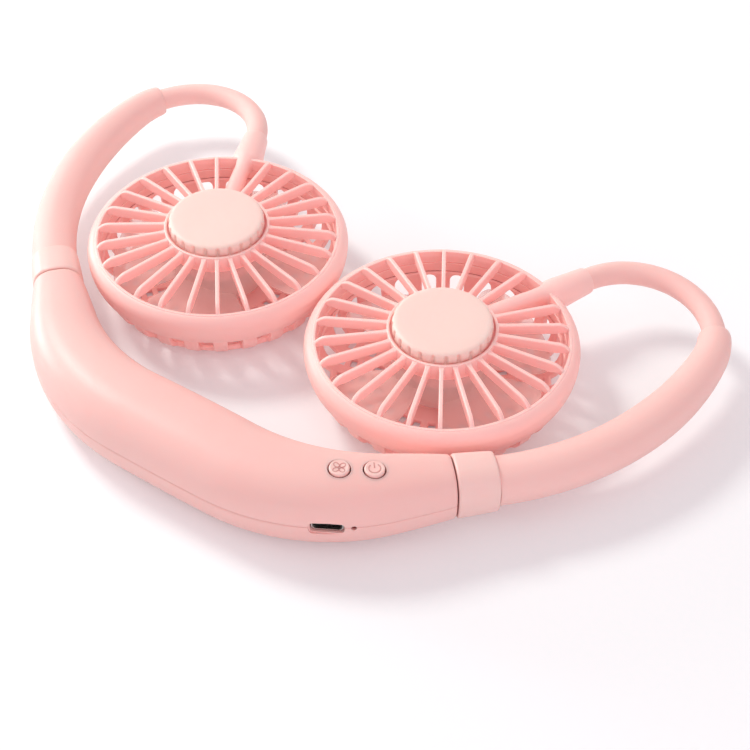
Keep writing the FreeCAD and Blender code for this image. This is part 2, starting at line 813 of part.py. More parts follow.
channel_hub_middle = hub_top - channel_hub_sink
channel_rim_middle = lip_top - channel_rim_sink - merge
channel_start = hub_radius - hub_wall / 2
channel_end = ring_inner - past
channel_waist = (channel_start + channel_end) / 2
channel = Part.makeLoft([
    stadium(channel_start, channel_hub_middle, channel_hub_width, channel_hub_height),
    stadium(channel_waist, (channel_hub_middle + channel_rim_middle) / 2 + merge,
            (channel_rim_width + channel_hub_width) / 2, (channel_rim_height + channel_hub_height) / 2),
    stadium(channel_end, channel_rim_middle, channel_rim_width, channel_rim_height)], True, False)
socket_root = 2 * socket_root_radius
shoulder = Part.makeLoft([
    stadium(channel_end - shoulder_bury, channel_rim_middle, channel_rim_width - shoulder_slim,
            channel_rim_height - shoulder_slim),
    stadium(ring_inner + ring_wall / 2, (channel_rim_middle + socket_height) / 2,
            (channel_rim_width + socket_root) / 2, (channel_rim_height + socket_root) / 2),
    stadium(head_radius - lip_inset / 2, socket_height, socket_root, socket_root)], True, True)
socket_start = head_radius - lip_inset / 2 - merge
socket = Part.makeCone(socket_root_radius, socket_tip_radius, socket_reach - socket_start,
                       V(0, socket_start, socket_height), AHEAD)

grille = ring.fuse(vanes + [hub, hub_plate, pocket, cap_post, channel, shoulder, socket] + tabs)
flange_start = socket_reach - ferrule_inset - ferrule_length
flange_room = Part.makeCylinder(ferrule_flange_radius + fit_clearance,
                                ferrule_flange_width + 2 * ferrule_flange_play,
                                V(0, flange_start - ferrule_flange_play, socket_height), AHEAD)
socket_bore = Part.makeCylinder(tube_radius + fit_clearance, socket_reach,
                                V(0, flange_start + ferrule_flange_width, socket_height), AHEAD)
lead_bore = pipe(rounded_route([V(0, reach, height) for reach, height in head_steps], lead_head_bend),
                 lead_radius + lead_bore_room)
snap_start = guard_radius - snap_depth
snap = Part.makeBox(2 * snap_depth, snap_length, snap_height,
                    V(snap_start, -snap_length / 2, ring_bottom + snap_rise))
snap_room = Part.makeBox(2 * snap_depth + snap_play, snap_length + 2 * snap_play, snap_height + 2 * snap_play,
                         V(snap_start, -snap_length / 2 - snap_play, ring_bottom + snap_rise - snap_play))
snap_rooms = [turned(snap_room, angle) for angle in snap_angles]
grille = grille.cut([socket_bore, flange_room, lead_bore] + snap_rooms)
save_pair("front_grille", seat_head(tidy(grille)))

# Rear guard: a slotted cup, with rings across the slots and four snaps that hold it in the grille.
inner_corner = guard_corner - guard_wall
flat = guard_radius - guard_corner
half_way = math.sqrt(0.5)
guard_rim = ring_bottom + guard_seat - guard_rim_gap
cup = revolve([
    (0, 0), (flat, 0),
    (flat + guard_corner * half_way, guard_corner - guard_corner * half_way, "arc"),
    (guard_radius, guard_corner), (guard_radius, guard_rim), (guard_radius - guard_wall, guard_rim),
    (guard_radius - guard_wall, guard_corner),
    (flat + inner_corner * half_way, guard_corner - inner_corner * half_way, "arc"),
    (flat, guard_wall), (0, guard_wall)])
far = guard_radius + past
slot = Part.Face(Part.makePolygon([
    V(guard_hub_radius, guard_slot_inner / 2, -past), V(guard_hub_radius, -guard_slot_inner / 2, -past),
    V(far, -guard_slot_outer / 2, -past), V(far, guard_slot_outer / 2, -past),
    V(guard_hub_radius, guard_slot_inner / 2, -past)])).extrude(UP * (guard_slot_top + past))
slots = around(slot, guard_slots)
first_ring = guard_hub_radius + guard_ring_first
ring_step = (guard_radius - guard_ring_last - first_ring) / (guard_ring_count - 1)
rings = []
for index in range(guard_ring_count):
    radius = first_ring + ring_step * index
    band = tube(radius + guard_ring_width / 2, radius - guard_ring_width / 2, -past, guard_ring_top)
    rings.append(cup.common(band))
guard = cup.cut(slots).fuse(rings + [turned(snap, angle) for angle in snap_angles])
save_pair("rear_guard", seat_head(tidy(guard)))

# Motor, shaft and impeller.
motor = disc(motor_radius, motor_bottom, motor_top)
motor = motor.makeFillet(motor_edge, [motor.Edges[0], motor.Edges[2]])
terminal = Part.makeBox(terminal_length, terminal_width, terminal_height + merge,
                        V(-terminal_length / 2, motor_radius - terminal_from_rim - terminal_width,
                          motor_top - merge))
shaft_bore = disc(shaft_radius + fit_clearance, motor_bottom - past, motor_top - motor_end_wall)
save_pair("motor", seat_head(tidy(motor.fuse(terminal).cut(shaft_bore))))

shaft = disc(shaft_radius, impeller_bottom + shaft_end_gap, motor_top - motor_end_wall - shaft_end_gap)
save_pair("motor_shaft", seat_head(shaft))


def polar(radius, angle):
    return V(radius * math.cos(angle), radius * math.sin(angle), 0)


half_sweep = math.radians(blade_sweep / 2)
blade_root = impeller_outer - impeller_wall / 2
blade_outline = Part.Wire([
    Part.Arc(polar(blade_tip, -half_sweep), polar(blade_tip, 0), polar(blade_tip, half_sweep)).toShape(),
    line(polar(blade_tip, half_sweep), polar(blade_root, half_sweep)),
    Part.Arc(polar(blade_root, half_sweep), polar(blade_root, 0), polar(blade_root, -half_sweep)).toShape(),
    line(polar(blade_root, -half_sweep), polar(blade_tip, -half_sweep))])
blade_prism = Part.Face(blade_outline).extrude(UP * hub_top)
tip_edges = []
for edge in blade_prism.Edges:
    upright = abs(edge.BoundBox.ZLength - hub_top) < merge
    outer_edge = math.hypot(edge.CenterOfMass.x, edge.CenterOfMass.y) > blade_tip - past
    if upright and outer_edge:
        tip_edges.append(edge)
blade_prism = blade_prism.makeFillet(blade_corner, tip_edges)
slab = Part.makeBox(head_radius, 2 * head_radius, blade_thickness, V(0, -head_radius, -blade_thickness / 2))
slab.rotate(ORIGIN, V(1, 0, 0), blade_pitch)
slab.translate(UP * blade_height)
blade = blade_prism.common(slab)
floor_top = impeller_bottom + impeller_floor
cup_floor = disc(impeller_outer, impeller_bottom, floor_top)
cup_wall = tube(impeller_outer, impeller_inner, impeller_bottom, hub_bottom - impeller_top_gap)
boss = disc(impeller_boss_radius, impeller_bottom, motor_bottom - impeller_top_gap)
impeller = cup_floor.fuse([cup_wall, boss] + around(blade, blade_count))
impeller = impeller.cut([tube(impeller_inner, impeller_boss_radius, floor_top, hub_bottom),
                         disc(shaft_radius, impeller_bottom + shaft_end_gap, hub_bottom)])
save_pair("impeller", seat_head(tidy(impeller)))

# Scent pad and the fluted cap that twists over it.
save_pair("aroma_pad", seat_head(disc(post_radius - post_wall - pad_gap, hub_floor_top,
                                      hub_floor_top + pad_height)))

cap_disc = disc(cap_radius, cap_under, cap_top)
cap_disc = cap_disc.makeFillet(cap_edge, [cap_disc.Edges[0]])
skirt_radius = cap_radius - cap_skirt_inset
skirt = tube(skirt_radius, skirt_radius - cap_skirt_wall, cap_skirt_bottom, cap_under + merge)
lug_ring = tube(skirt_radius - merge, post_radius + lug_gap, cap_skirt_bottom, cap_skirt_bottom + lug_height)
lugs = [lug_ring.common(turned(tab_wedge, angle)) for angle in tab_angles]
flute_top = cap_top - cap_edge
flute = Part.makeCylinder(cap_flute_radius, cap_flute_height,
                          V(cap_radius + cap_flute_offset, 0, flute_top - cap_flute_height))
aroma_cap = cap_disc.fuse([skirt] + lugs).cut(around(flute, cap_flutes))
save_pair("aroma_cap", seat_head(tidy(aroma_cap)))
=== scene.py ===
import math
from types import SimpleNamespace

import bmesh
import bpy
from bpy.props import FloatProperty, FloatVectorProperty, IntProperty, PointerProperty
from mathutils import Matrix, Vector


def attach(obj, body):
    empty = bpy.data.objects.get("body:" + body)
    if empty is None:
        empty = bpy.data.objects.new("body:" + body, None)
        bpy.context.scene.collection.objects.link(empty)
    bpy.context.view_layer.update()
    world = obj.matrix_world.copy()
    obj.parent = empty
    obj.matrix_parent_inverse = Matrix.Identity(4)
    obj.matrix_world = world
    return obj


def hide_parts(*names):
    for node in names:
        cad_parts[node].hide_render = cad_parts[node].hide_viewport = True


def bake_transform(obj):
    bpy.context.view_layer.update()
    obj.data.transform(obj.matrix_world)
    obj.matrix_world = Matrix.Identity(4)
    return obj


bl_info = {
    "name": "Neck Fan",
    "version": (1, 0, 0),
    "blender": (4, 5, 0),
    "location": "View3D > Sidebar > Neck Fan",
    "description": "Dresses the packed neck fan with detailed pieces, finishes, light and camera",
    "category": "Object",
}

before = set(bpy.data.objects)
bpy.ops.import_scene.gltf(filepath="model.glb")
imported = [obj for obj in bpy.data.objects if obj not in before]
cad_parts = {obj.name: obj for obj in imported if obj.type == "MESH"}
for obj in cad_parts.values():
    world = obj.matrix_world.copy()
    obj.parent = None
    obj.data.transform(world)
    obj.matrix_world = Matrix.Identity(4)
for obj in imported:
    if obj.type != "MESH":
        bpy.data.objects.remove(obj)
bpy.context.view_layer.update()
MM = 0.001
SIDES = ("right", "left")
UP = Vector((0, 0, 1))


def linear(code):
    """Linear colour from an sRGB hex value."""
    channels = [int(code[i:i + 2], 16) / 255 for i in (0, 2, 4)]
    return tuple(c / 12.92 if c <= 0.04045 else ((c + 0.055) / 1.055) ** 2.4 for c in channels)


def length(name, description, millimetres):
    return FloatProperty(name=name, description=description, default=millimetres * MM, unit="LENGTH",
                         precision=5)


def angle(name, description, degrees):
    return FloatProperty(name=name, description=description, default=math.radians(degrees), subtype="ANGLE")


def count(name, description, number):
    return IntProperty(name=name, description=description, default=number, min=2)


def tint(name, description, code):
    return FloatVectorProperty(name=name, description=description, default=linear(code), size=3,
                               min=0, max=1, subtype="COLOR")


class NeckbandSizes(bpy.types.PropertyGroup):
    straight: length("Straight", "Half of the straight middle of the back", 14.0)
    bend_radius: length("Bend radius", "Radius of the neckband's bend", 52.0)
    bend_angle: angle("Bend angle", "Turn of each side of the neckband", 43.2)
    end_straight: length("End straight", "Straight run at each end", 15.2)
    mid_width: length("Middle width", "Section width at the middle of the back", 23.0)
    mid_height: length("Middle height", "Section height at the middle of the back", 21.8)
    end_width: length("End width", "Section width at the ends", 13.0)
    end_height: length("End height", "Section height at the ends", 15.0)
    wall: length("Wall", "Thickness of the moulded shells", 1.8)
    seam: length("Seam height", "Height of the seam above the table", 10.6)
    groove: length("Seam groove", "Depth of the rounded groove along the seam", 0.32)
    spigot: length("Spigot hole", "Radius of the hole for the arm's spigot", 3.55)
    collar_gap: length("Collar gap", "Gap between the shells and a collar", 0.3)
    collar_length: length("Collar length", "Length of a collar along the arm", 10.0)
    collar_width: length("Collar width", "Width of a collar at the neckband", 13.2)
    collar_height: length("Collar height", "Height of a collar at the neckband", 15.2)
    collar_end_width: length("Collar end width", "Width of a collar at the arm", 12.4)
    collar_end_height: length("Collar end height", "Height of a collar at the arm", 13.8)
    collar_swell: length("Collar swell", "Added size of a collar half way along", 0.15)
    button_radius: length("Button radius", "Radius of a push button", 2.4)
    button_gap: length("Button gap", "Gap round a push button", 0.3)
    button_proud: length("Button height", "How far a button stands out of the shell", 0.5)
    port_width: length("Port width", "Width of the charging receptacle", 7.5)
    port_height: length("Port height", "Height of the charging receptacle", 2.5)
    port_inset: length("Port inset", "How far the receptacle lies behind the shell's skin", 0.9)
    light_hole: length("Light hole", "Radius of the hole for the charge light", 0.7)
    speed_place: length("Speed button", "Place of the speed button, back from the right end", 26.5)
    power_place: length("Power button", "Place of the power button, back from the right end", 18.4)
    port_place: length("Charging port", "Place of the charging port, back from the right end", 28.4)
    light_place: length("Charge light", "Place of the charge light, back from the right end", 23.2)
    board_place: length("Board", "Place of the control board, back from the right end", 24.6)
    screw_place: length("Screws", "Place of a screw along the back, from the middle", 29.0)
    screw_head: length("Screw head", "Radius of the recess for a screw's head", 2.1)
    screw_shank: length("Screw shank", "Radius of the hole for a screw", 1.1)


class ArmSizes(bpy.types.PropertyGroup):
    sleeve_start: length("Sleeve start", "Radius of the sleeve at its collar", 5.9)
    sleeve_middle: length("Sleeve middle", "Radius of the sleeve half way", 5.7)
    sleeve_end: length("Sleeve end", "Radius of the sleeve at its step", 4.15)
    spigot: length("Spigot", "Radius of the sleeve's spigot in the neckband", 3.5)
    spigot_flange: length("Spigot flange", "Radius of the flange that holds the spigot", 4.3)
    overrun: length("Overrun", "Length of sleeve round the second bend", 9.0)
    bend_share: FloatProperty(name="Bend share", description="First bend's tangent over the arm's span",
                              default=0.527, min=0, max=1, subtype="FACTOR")
    tube: length("Tube radius", "Radius of the thin bendable tube", 3.0)
    core: length("Core radius", "Radius of the gooseneck core", 2.2)
    core_pitch: length("Core pitch", "Pitch of the gooseneck's turns", 1.8)
    core_groove: length("Core groove", "Depth between the gooseneck's turns", 0.22)
    lead: length("Lead radius", "Radius of a motor lead", 0.8)


class HeadSizes(bpy.types.PropertyGroup):
    centre_x: length("Centre X", "Fan axis, sideways from the middle", 35.25)
    centre_y: length("Centre Y", "Fan axis, forward of the neckband's back", 59.883)
    turn: angle("Turn", "Turn of the wire channel from straight ahead", 24.0)
    radius: length("Radius", "Widest radius of the head", 34.6)
    lip_radius: length("Lip radius", "Outer radius of the lip", 32.6)
    lip_top: length("Lip height", "Height of the lip", 17.5)
    ring_inner: length("Ring bore", "Inner radius of the front ring", 31.3)
    ring_bottom: length("Ring bottom", "Height of the front ring's lower edge", 9.0)
    bulge: length("Bulge height", "Height of the ring's widest line", 13.6)
    socket: length("Socket height", "Height of the socket's axis", 14.3)
    reach: length("Socket reach", "Reach of the socket from the fan's axis", 45.0)
    vanes: count("Vane places", "Places round the hub, one taken by the wire channel", 26)
    vane_thickness: length("Vane thickness", "Thickness of a vane", 1.0)
    vane_depth: length("Vane depth", "Height of a vane from edge to edge", 3.1)
    vane_edge: length("Vane edge", "Rounding of a vane's edges", 0.2)
    hub_radius: length("Hub radius", "Outer radius of the hub ring", 13.9)
    hub_top: length("Hub height", "Height of the hub ring", 20.5)
    cap_radius: length("Cap radius", "Radius of the scent cap", 12.6)
    cap_top: length("Cap height", "Height of the scent cap", 22.8)
    flutes: count("Cap flutes", "Finger flutes round the scent cap", 24)
    flute_depth: length("Flute depth", "Depth of a finger flute", 0.85)
    flute_half: length("Flute half width", "Half of a finger flute's width", 0.8)
    guard_radius: length("Guard radius", "Radius of the rear guard", 32.05)
    guard_wall: length("Guard wall", "Thickness of the rear guard", 1.4)
    guard_corner: length("Guard corner", "Radius of the guard's round corner", 8.0)
    guard_edge: length("Guard edge", "Rounding of the guard's bars", 0.38)
    guard_hub: length("Guard hub", "Radius where the guard's slots begin", 15.0)
    slots: count("Guard slots", "Slots round the rear guard", 26)
    slot_inner: length("Slot start", "Slot width at the guard's hub", 1.8)
    slot_outer: length("Slot end", "Slot width at the guard's wall", 4.1)
    slot_top: length("Slot top", "Height of the slots up the wall", 10.3)
    rim_top: length("Guard rim", "Height of the guard's rim inside the front ring", 10.9)
    blades: count("Blades", "Blades of the impeller", 4)
    blade_tip: length("Blade tip", "Tip radius of the blades", 28.75)
    blade_corner: length("Blade corner", "Radius of a blade's round corners", 5.0)
    blade_height: length("Blade height", "Height of a blade's middle", 7.6)
    blade_half: angle("Blade half width", "Half of the turn that a blade spans", 32.5)
    blade_pitch: angle("Blade pitch", "Slope of a blade", 15.0)
    impeller_radius: length("Impeller hub", "Outer radius of the impeller's hub", 12.75)


class Finishes(bpy.types.PropertyGroup):
    shell: tint("Shell", "Peach pink moulded plastic", "FCD0C9")
    shell_deep: tint("Shell, deeper", "Deeper tone of the moulded plastic", "FCC7C0")
    grille: tint("Grille", "Peach pink plastic of the thin-walled fan heads", "FCD9D1")
    collar: tint("Collar", "Lighter moulded plastic", "FDD9D1")
    # Painted light: the cap is paler than the shell, though the same plastic, for the light that its flat top
    # catches.
    cap: tint("Cap", "Pale peach moulded plastic", "FBE3D8")
    silicone: tint("Silicone", "Soft pink sleeve", "FDCEC7")
    blade: tint("Blades", "Smoky clear plastic", "F9E2DD")


class StageSizes(bpy.types.PropertyGroup):
    azimuth: angle("Azimuth", "Camera's place round the object", 33.9)
    elevation: angle("Elevation", "Camera's height above the horizon", 45.39)
    distance: length("Distance", "Camera's distance from what it looks at", 408.0)
    target: FloatVectorProperty(name="Target", description="Point the camera looks at",
                                default=(0.0291, 0.03905, 0.0175), size=3, subtype="XYZ", unit="LENGTH")
    lens: FloatProperty(name="Lens", description="Focal length for a 36 mm sensor", default=80.6,
                        unit="CAMERA")


def sizes(group):
    """A group's values as plain numbers, lengths in millimetres."""
    values = {}
    for name, prop in group.bl_rna.properties.items():
        if prop.type in {"FLOAT", "INT"} and not getattr(prop, "is_array", False):
            value = getattr(group, name)
            values[name] = value / MM if prop.type == "FLOAT" and prop.unit == "LENGTH" else value
    return SimpleNamespace(**values)


# Finishes.

def feed(tree, node, inputs):
    """Sets a node's inputs, or links them where a node or one of its sockets is given."""
    for name, value in inputs.items():
        socket = node.inputs[name]
        if isinstance(value, bpy.types.Node):
            value = next(output for output in value.outputs if output.enabled)
        if isinstance(value, bpy.types.NodeSocket):
            tree.links.new(value, socket)
        elif socket.type == "RGBA":
            socket.default_value = (*value[:3], 1)
        else:
            socket.default_value = value


def add(tree, kind, inputs=None, **settings):
    """Adds a node with its settings, then sets or links its inputs."""
    node = tree.nodes.new(kind)
    for name, value in settings.items():
        setattr(node, name, value)
    feed(tree, node, inputs or {})
    return node


def new_material(name):
    """A material with a plain surface, its tree, that surface and the object's own coordinates."""
    material = bpy.data.materials.new(name)
    material.use_nodes = True
    tree = material.node_tree
    tree.nodes.clear()
    shader = add(tree, "ShaderNodeBsdfPrincipled")
    add(tree, "ShaderNodeOutputMaterial", {"Surface": shader})
    return material, tree, shader, add(tree, "ShaderNodeTexCoord").outputs["Object"]


def fine_skin(tree, place, grain, detail, strength, depth, rough):
    """Surface inputs from one fine noise: a bump and an uneven roughness. Grain and depth are in mm."""
    noise = add(tree, "ShaderNodeTexNoise", {"Vector": place, "Scale": 1 / (grain * MM), "Detail": detail})
    bump = add(tree, "ShaderNodeBump", {"Height": noise, "Strength": strength, "Distance": depth * MM})
    gloss = add(tree, "ShaderNodeMapRange", {"Value": noise, "To Min": rough[0], "To Max": rough[1]})
    return {"Normal": bump, "Roughness": gloss}


def moulded_abs(name, colour, deeper, roughness, thin=False):
    """Injection-moulded ABS from a spark-eroded tool: an even satin skin, faint flow tone, soft gloss.
    The real grain is about 0.1 mm; it is drawn at 0.7 mm so that the render can show it.
    Narrow gaps get painted shade: the colour turns dark where ambient occlusion finds them. A thin
    moulding gets a faint painted glow for the red light it passes on, and a painted highlight that
    makes its outer edges paler, with a pale glow, within about 0.35 mm."""
    material, tree, shader, place = new_material(name)
    flow = add(tree, "ShaderNodeTexNoise", {"Vector": place, "Scale": 1 / (26 * MM), "Detail": 2.0})
    tone = add(tree, "ShaderNodeMix", {"Factor": flow, "A": colour, "B": deeper}, data_type="RGBA")
    skin = fine_skin(tree, place, grain=0.7, detail=3.0, strength=0.12, depth=0.03,
                     rough=(roughness - 0.05, roughness + 0.07))
    # Painted shade: the colour is mixed towards a dark tone in narrow gaps that ambient occlusion finds.
    room = add(tree, "ShaderNodeAmbientOcclusion", {"Distance": 0.7 * MM}, samples=6).outputs["AO"]
    openness = add(tree, "ShaderNodeMapRange", {"Value": room, "From Min": 0.12, "From Max": 0.5})
    painted_gap_shade = (deeper[0] * 0.45, deeper[1] ** 2 * 0.3, deeper[2] ** 2 * 0.3)
    paint = add(tree, "ShaderNodeMix", {"Factor": openness, "A": painted_gap_shade, "B": tone}, data_type="RGBA")
    if thin:
        # Painted highlight: within about 0.35 mm of an outer edge the colour is mixed towards pale cream and a
        # pale glow is added.
        eased = add(tree, "ShaderNodeBevel", {"Radius": 0.35 * MM}, samples=6)
        facing = add(tree, "ShaderNodeNewGeometry").outputs["Normal"]
        agreement = add(tree, "ShaderNodeVectorMath", {0: eased, 1: facing}, operation="DOT_PRODUCT")
        edge_highlight_mask = add(tree, "ShaderNodeMapRange", {"Value": agreement, "From Min": 0.99, "From Max": 0.8,
                                                     "To Max": 0.9})
        outer = add(tree, "ShaderNodeMapRange", {"Value": room, "From Min": 0.7, "From Max": 0.95})
        share = add(tree, "ShaderNodeMath", {0: edge_highlight_mask, 1: outer}, operation="MULTIPLY")
        paint = add(tree, "ShaderNodeMix", {"Factor": share, "A": paint, "B": linear("FFF6EE")},
                    data_type="RGBA")
        # Painted glow: a faint red emission over the whole thin moulding, weaker in narrow gaps.
        painted_glow = add(tree, "ShaderNodeMath", {0: openness, 1: 0.1}, operation="MULTIPLY")
        light = add(tree, "ShaderNodeMath", {0: share, 1: 0.3, 2: painted_glow}, operation="MULTIPLY_ADD")
        warm = add(tree, "ShaderNodeMix", {"Factor": share, "A": linear("FF6E78"), "B": linear("FFE2D6")},
                   data_type="RGBA")
        feed(tree, shader, {"Emission Strength": light, "Emission Color": warm})
    feed(tree, shader, {**skin, "Base Color": paint, "IOR": 1.53, "Subsurface Weight": 0.3,
                        "Subsurface Radius": (1.0, 0.35, 0.3), "Subsurface Scale": 1.2 * MM})
    return material


def moulded_silicone(name, colour):
    """Moulded silicone rubber: matt and velvety, with a faint sheen and a slightly cloudy tone.
    The skin's fine unevenness is drawn at 0.9 mm, coarser than the real one, so that it shows."""
    material, tree, shader, place = new_material(name)
    cloud = add(tree, "ShaderNodeTexNoise", {"Vector": place, "Scale": 1 / (18 * MM), "Detail": 2.0})
    pale = tuple(min(1.0, c * 1.04) for c in colour)
    tone = add(tree, "ShaderNodeMix", {"Factor": cloud, "A": colour, "B": pale}, data_type="RGBA")
    skin = fine_skin(tree, place, grain=0.9, detail=4.0, strength=0.1, depth=0.03, rough=(0.5, 0.62))
    feed(tree, shader, {**skin, "Base Color": tone, "IOR": 1.41, "Sheen Weight": 0.08,
                        "Sheen Roughness": 0.4, "Subsurface Weight": 0.25,
                        "Subsurface Radius": (1.0, 0.35, 0.3), "Subsurface Scale": 1.8 * MM})
    return material


def smoky_san(name, colour):
    """Moulded clear SAN with a smoky pink tint: glossy blades that the guard shows through.
    Partial opacity and a faint painted glow stand for the light that the clear plastic passes on."""
    material, tree, shader, place = new_material(name)
    haze = add(tree, "ShaderNodeTexNoise", {"Vector": place, "Scale": 1 / (9 * MM), "Detail": 2.0})
    gloss = add(tree, "ShaderNodeMapRange", {"Value": haze, "To Min": 0.14, "To Max": 0.26})
    # Painted glow: a faint pale emission on the blades.
    feed(tree, shader, {"Base Color": colour, "Roughness": gloss, "IOR": 1.57, "Alpha": 0.42,
                        "Emission Color": linear("FFD8CF"), "Emission Strength": 0.05})
    return material


def plated_metal(name, colour, roughness, grain):
    """Plated or drawn metal: bright, with fine drawing lines along its length."""
    material, tree, shader, place = new_material(name)
    squeezed = add(tree, "ShaderNodeMapping", {"Vector": place, "Scale": (1.0, 1.0, 0.08)})
    skin = fine_skin(tree, squeezed, grain=grain, detail=3.0, strength=0.08, depth=0.02,
                     rough=(roughness - 0.08, roughness + 0.12))
    feed(tree, shader, {**skin, "Base Color": colour, "Metallic": 1.0})
    return material


def dark_plastic(name, colour, roughness):
    """Moulded dark plastic or wire insulation, with a slightly uneven skin drawn at 0.8 mm."""
    material, tree, shader, place = new_material(name)
    skin = fine_skin(tree, place, grain=0.8, detail=3.0, strength=0.1, depth=0.02,
                     rough=(roughness - 0.06, roughness + 0.08))
    feed(tree, shader, {**skin, "Base Color": colour})
    return material


def solder_mask(name):
    """Fibreglass board under green solder mask, with paler copper tracks showing through as raised lines."""
    material, tree, shader, place = new_material(name)
    tracks = add(tree, "ShaderNodeTexBrick", {
        "Vector": place, "Color1": linear("0E5B33"), "Color2": linear("116B3C"), "Mortar": linear("2E8A55"),
        "Scale": 1 / (6 * MM), "Mortar Size": 0.05, "Row Height": 0.4})
    bump = add(tree, "ShaderNodeBump", {"Height": tracks.outputs["Fac"], "Strength": 0.2,
                                        "Distance": 0.03 * MM})
    feed(tree, shader, {"Base Color": tracks, "Normal": bump, "Roughness": 0.35})
    return material


def wool_felt(name):
    """Pressed wool felt: a pale matt mat of fibres about 0.3 mm across, drawn at 0.5 mm to show."""
    material, tree, shader, place = new_material(name)
    fibre = add(tree, "ShaderNodeTexNoise", {"Vector": place, "Scale": 1 / (0.5 * MM), "Detail": 6.0,
                                             "Distortion": 1.5})
    tone = add(tree, "ShaderNodeMix", {"Factor": fibre, "A": linear("D8D2C6"), "B": linear("F2EEE6")},
               data_type="RGBA")
    bump = add(tree, "ShaderNodeBump", {"Height": fibre, "Strength": 0.6, "Distance": 0.15 * MM})
    feed(tree, shader, {"Base Color": tone, "Normal": bump, "Roughness": 0.95, "Sheen Weight": 0.3})
    return material


def finish(name):
    """The named finish, made on first use."""
    ready = bpy.data.materials.get(name)
    if ready is not None:
        return ready
    colours = bpy.context.scene.neck_fan_finishes
    recipes = {
        "shell_abs": (moulded_abs, colours.shell, colours.shell_deep, 0.42),
        "thin_abs": (moulded_abs, colours.grille, colours.shell, 0.42, True),
        "collar_abs": (moulded_abs, colours.collar, colours.shell, 0.4),
        # Painted shade: the symbols are a deeper pink than the button, though the same plastic, for the shade
        # on their raised lines.
        "symbol_shade_tone": (moulded_abs, linear("E3A49E"), linear("DB9992"), 0.5),
        # The cap's paler tone is painted light.
        "cap_abs": (moulded_abs, colours.cap, colours.collar, 0.45),
        "arm_silicone": (moulded_silicone, colours.silicone),
        "blade_san": (smoky_san, colours.blade),
        "nickel_plate": (plated_metal, linear("C9C8C4"), 0.28, 0.5),
        "drawn_steel": (plated_metal, linear("B4B3B0"), 0.36, 0.4),
        "pouch_foil": (plated_metal, linear("C6C8CC"), 0.42, 1.2),
        "black_nylon": (dark_plastic, linear("1B1A1C"), 0.45),
        "pvc_lead": (dark_plastic, linear("8E2327"), 0.4),
        "light_lens": (dark_plastic, linear("7A1F22"), 0.2),
        "board_mask": (solder_mask,),
        "scent_felt": (wool_felt,),
    }
    make, *values = recipes[name]
    return make(name, *values)


# Forms, as points in millimetres and faces.

def between(start, end, steps):
    """Evenly spaced numbers from start to end."""
    return [start + (end - start) * i / steps for i in range(steps + 1)]


def circle(points, radius):
    """Flat points evenly round a circle."""
    return [(radius * math.cos(2 * math.pi * i / points), radius * math.sin(2 * math.pi * i / points))
            for i in range(points)]


def box(half, low, high):
    """Corners of a flat box, the same to both sides."""
    return [(-half, low), (half, low), (half, high), (-half, high)]


def squircle(c, power):
    """A cosine or sine bent towards a squarer oval."""
    return math.copysign(abs(c) ** (2 / power), c)


def grid(rows, close_rows=False, close_columns=False):
    """Points and quads from rows of points, joined row to row and round each row where closed."""
    wide = len(rows[0])
    points = [Vector(point) for row in rows for point in row]
    faces = []
    row_steps = len(rows) if close_rows else len(rows) - 1
    column_steps = wide if close_columns else wide - 1
    for i in range(row_steps):
        for j in range(column_steps):
            a = i * wide
            b = (i + 1) % len(rows) * wide
            k = (j + 1) % wide
            faces.append((a + j, a + k, b + k, b + j))
    return points, faces


def capped(rows):
    """Rows joined round and along, with one face over each end."""
    points, faces = grid(rows, close_columns=True)
    wide = len(rows[0])
    faces.append(tuple(range(wide)))
    faces.append(tuple(range(len(points) - wide, len(points))))
    return points, faces


def quad_capped(rows):
    """Rows joined round and along, with each end closed by quads from one half of the row to the other."""
    points, faces = grid(rows, close_columns=True)
    wide = len(rows[0])
    for start in (0, len(points) - wide):
        for i in range(wide // 2 - 1):
            faces.append((start + i, start + i + 1, start + wide - 2 - i, start + wide - 1 - i))
    return points, faces


def join(*forms):
    """One form from several."""
    points = []
    faces = []
    for form_points, form_faces in forms:
        start = len(points)
        points += form_points
        faces += [tuple(start + i for i in face) for face in form_faces]
    return points, faces


def arc3(start, middle, end, steps):
    """Points on the arc through three flat points."""
    (ax, ay), (bx, by), (cx, cy) = start, middle, end
    a, b, c = ax * ax + ay * ay, bx * bx + by * by, cx * cx + cy * cy
    d = 2 * (ax * (by - cy) + bx * (cy - ay) + cx * (ay - by))
    ux = (a * (by - cy) + b * (cy - ay) + c * (ay - by)) / d
    uy = (a * (cx - bx) + b * (ax - cx) + c * (bx - ax)) / d
    radius = math.hypot(ax - ux, ay - uy)
    first, mid, last = [math.atan2(y - uy, x - ux) for x, y in (start, middle, end)]
    to_mid = (mid - first + math.pi) % (2 * math.pi) - math.pi
    to_last = (last - mid + math.pi) % (2 * math.pi) - math.pi
    return [(ux + radius * math.cos(turn), uy + radius * math.sin(turn))
            for turn in between(first, first + to_mid + to_last, steps)]


def rounded(corners, radius, steps=4):
    """A flat outline with each corner rounded."""
    out = []
    for i, corner in enumerate(corners):
        here = Vector(corner)
        before = Vector(corners[i - 1]) - here
        after = Vector(corners[(i + 1) % len(corners)]) - here
        half = before.angle(after) / 2
        cut_back = min(radius / math.tan(half), 0.49 * before.length, 0.49 * after.length)
        first = here + before.normalized() * cut_back
        last = here + after.normalized() * cut_back
        pull = here + (before.normalized() + after.normalized()).normalized() * (
            cut_back / math.cos(half) - cut_back * math.tan(half))
        out += arc3(tuple(first), tuple(pull), tuple(last), steps)
    return out


def lathe(outline, steps, ring=True):
    """A turned form from an outline of radius and height: a closed ring, or a solid from axis to axis."""
    rows = [[(r * c, r * s, z) for r, z in outline] for c, s in circle(steps, 1.0)]
    return grid(rows, close_rows=True, close_columns=ring)


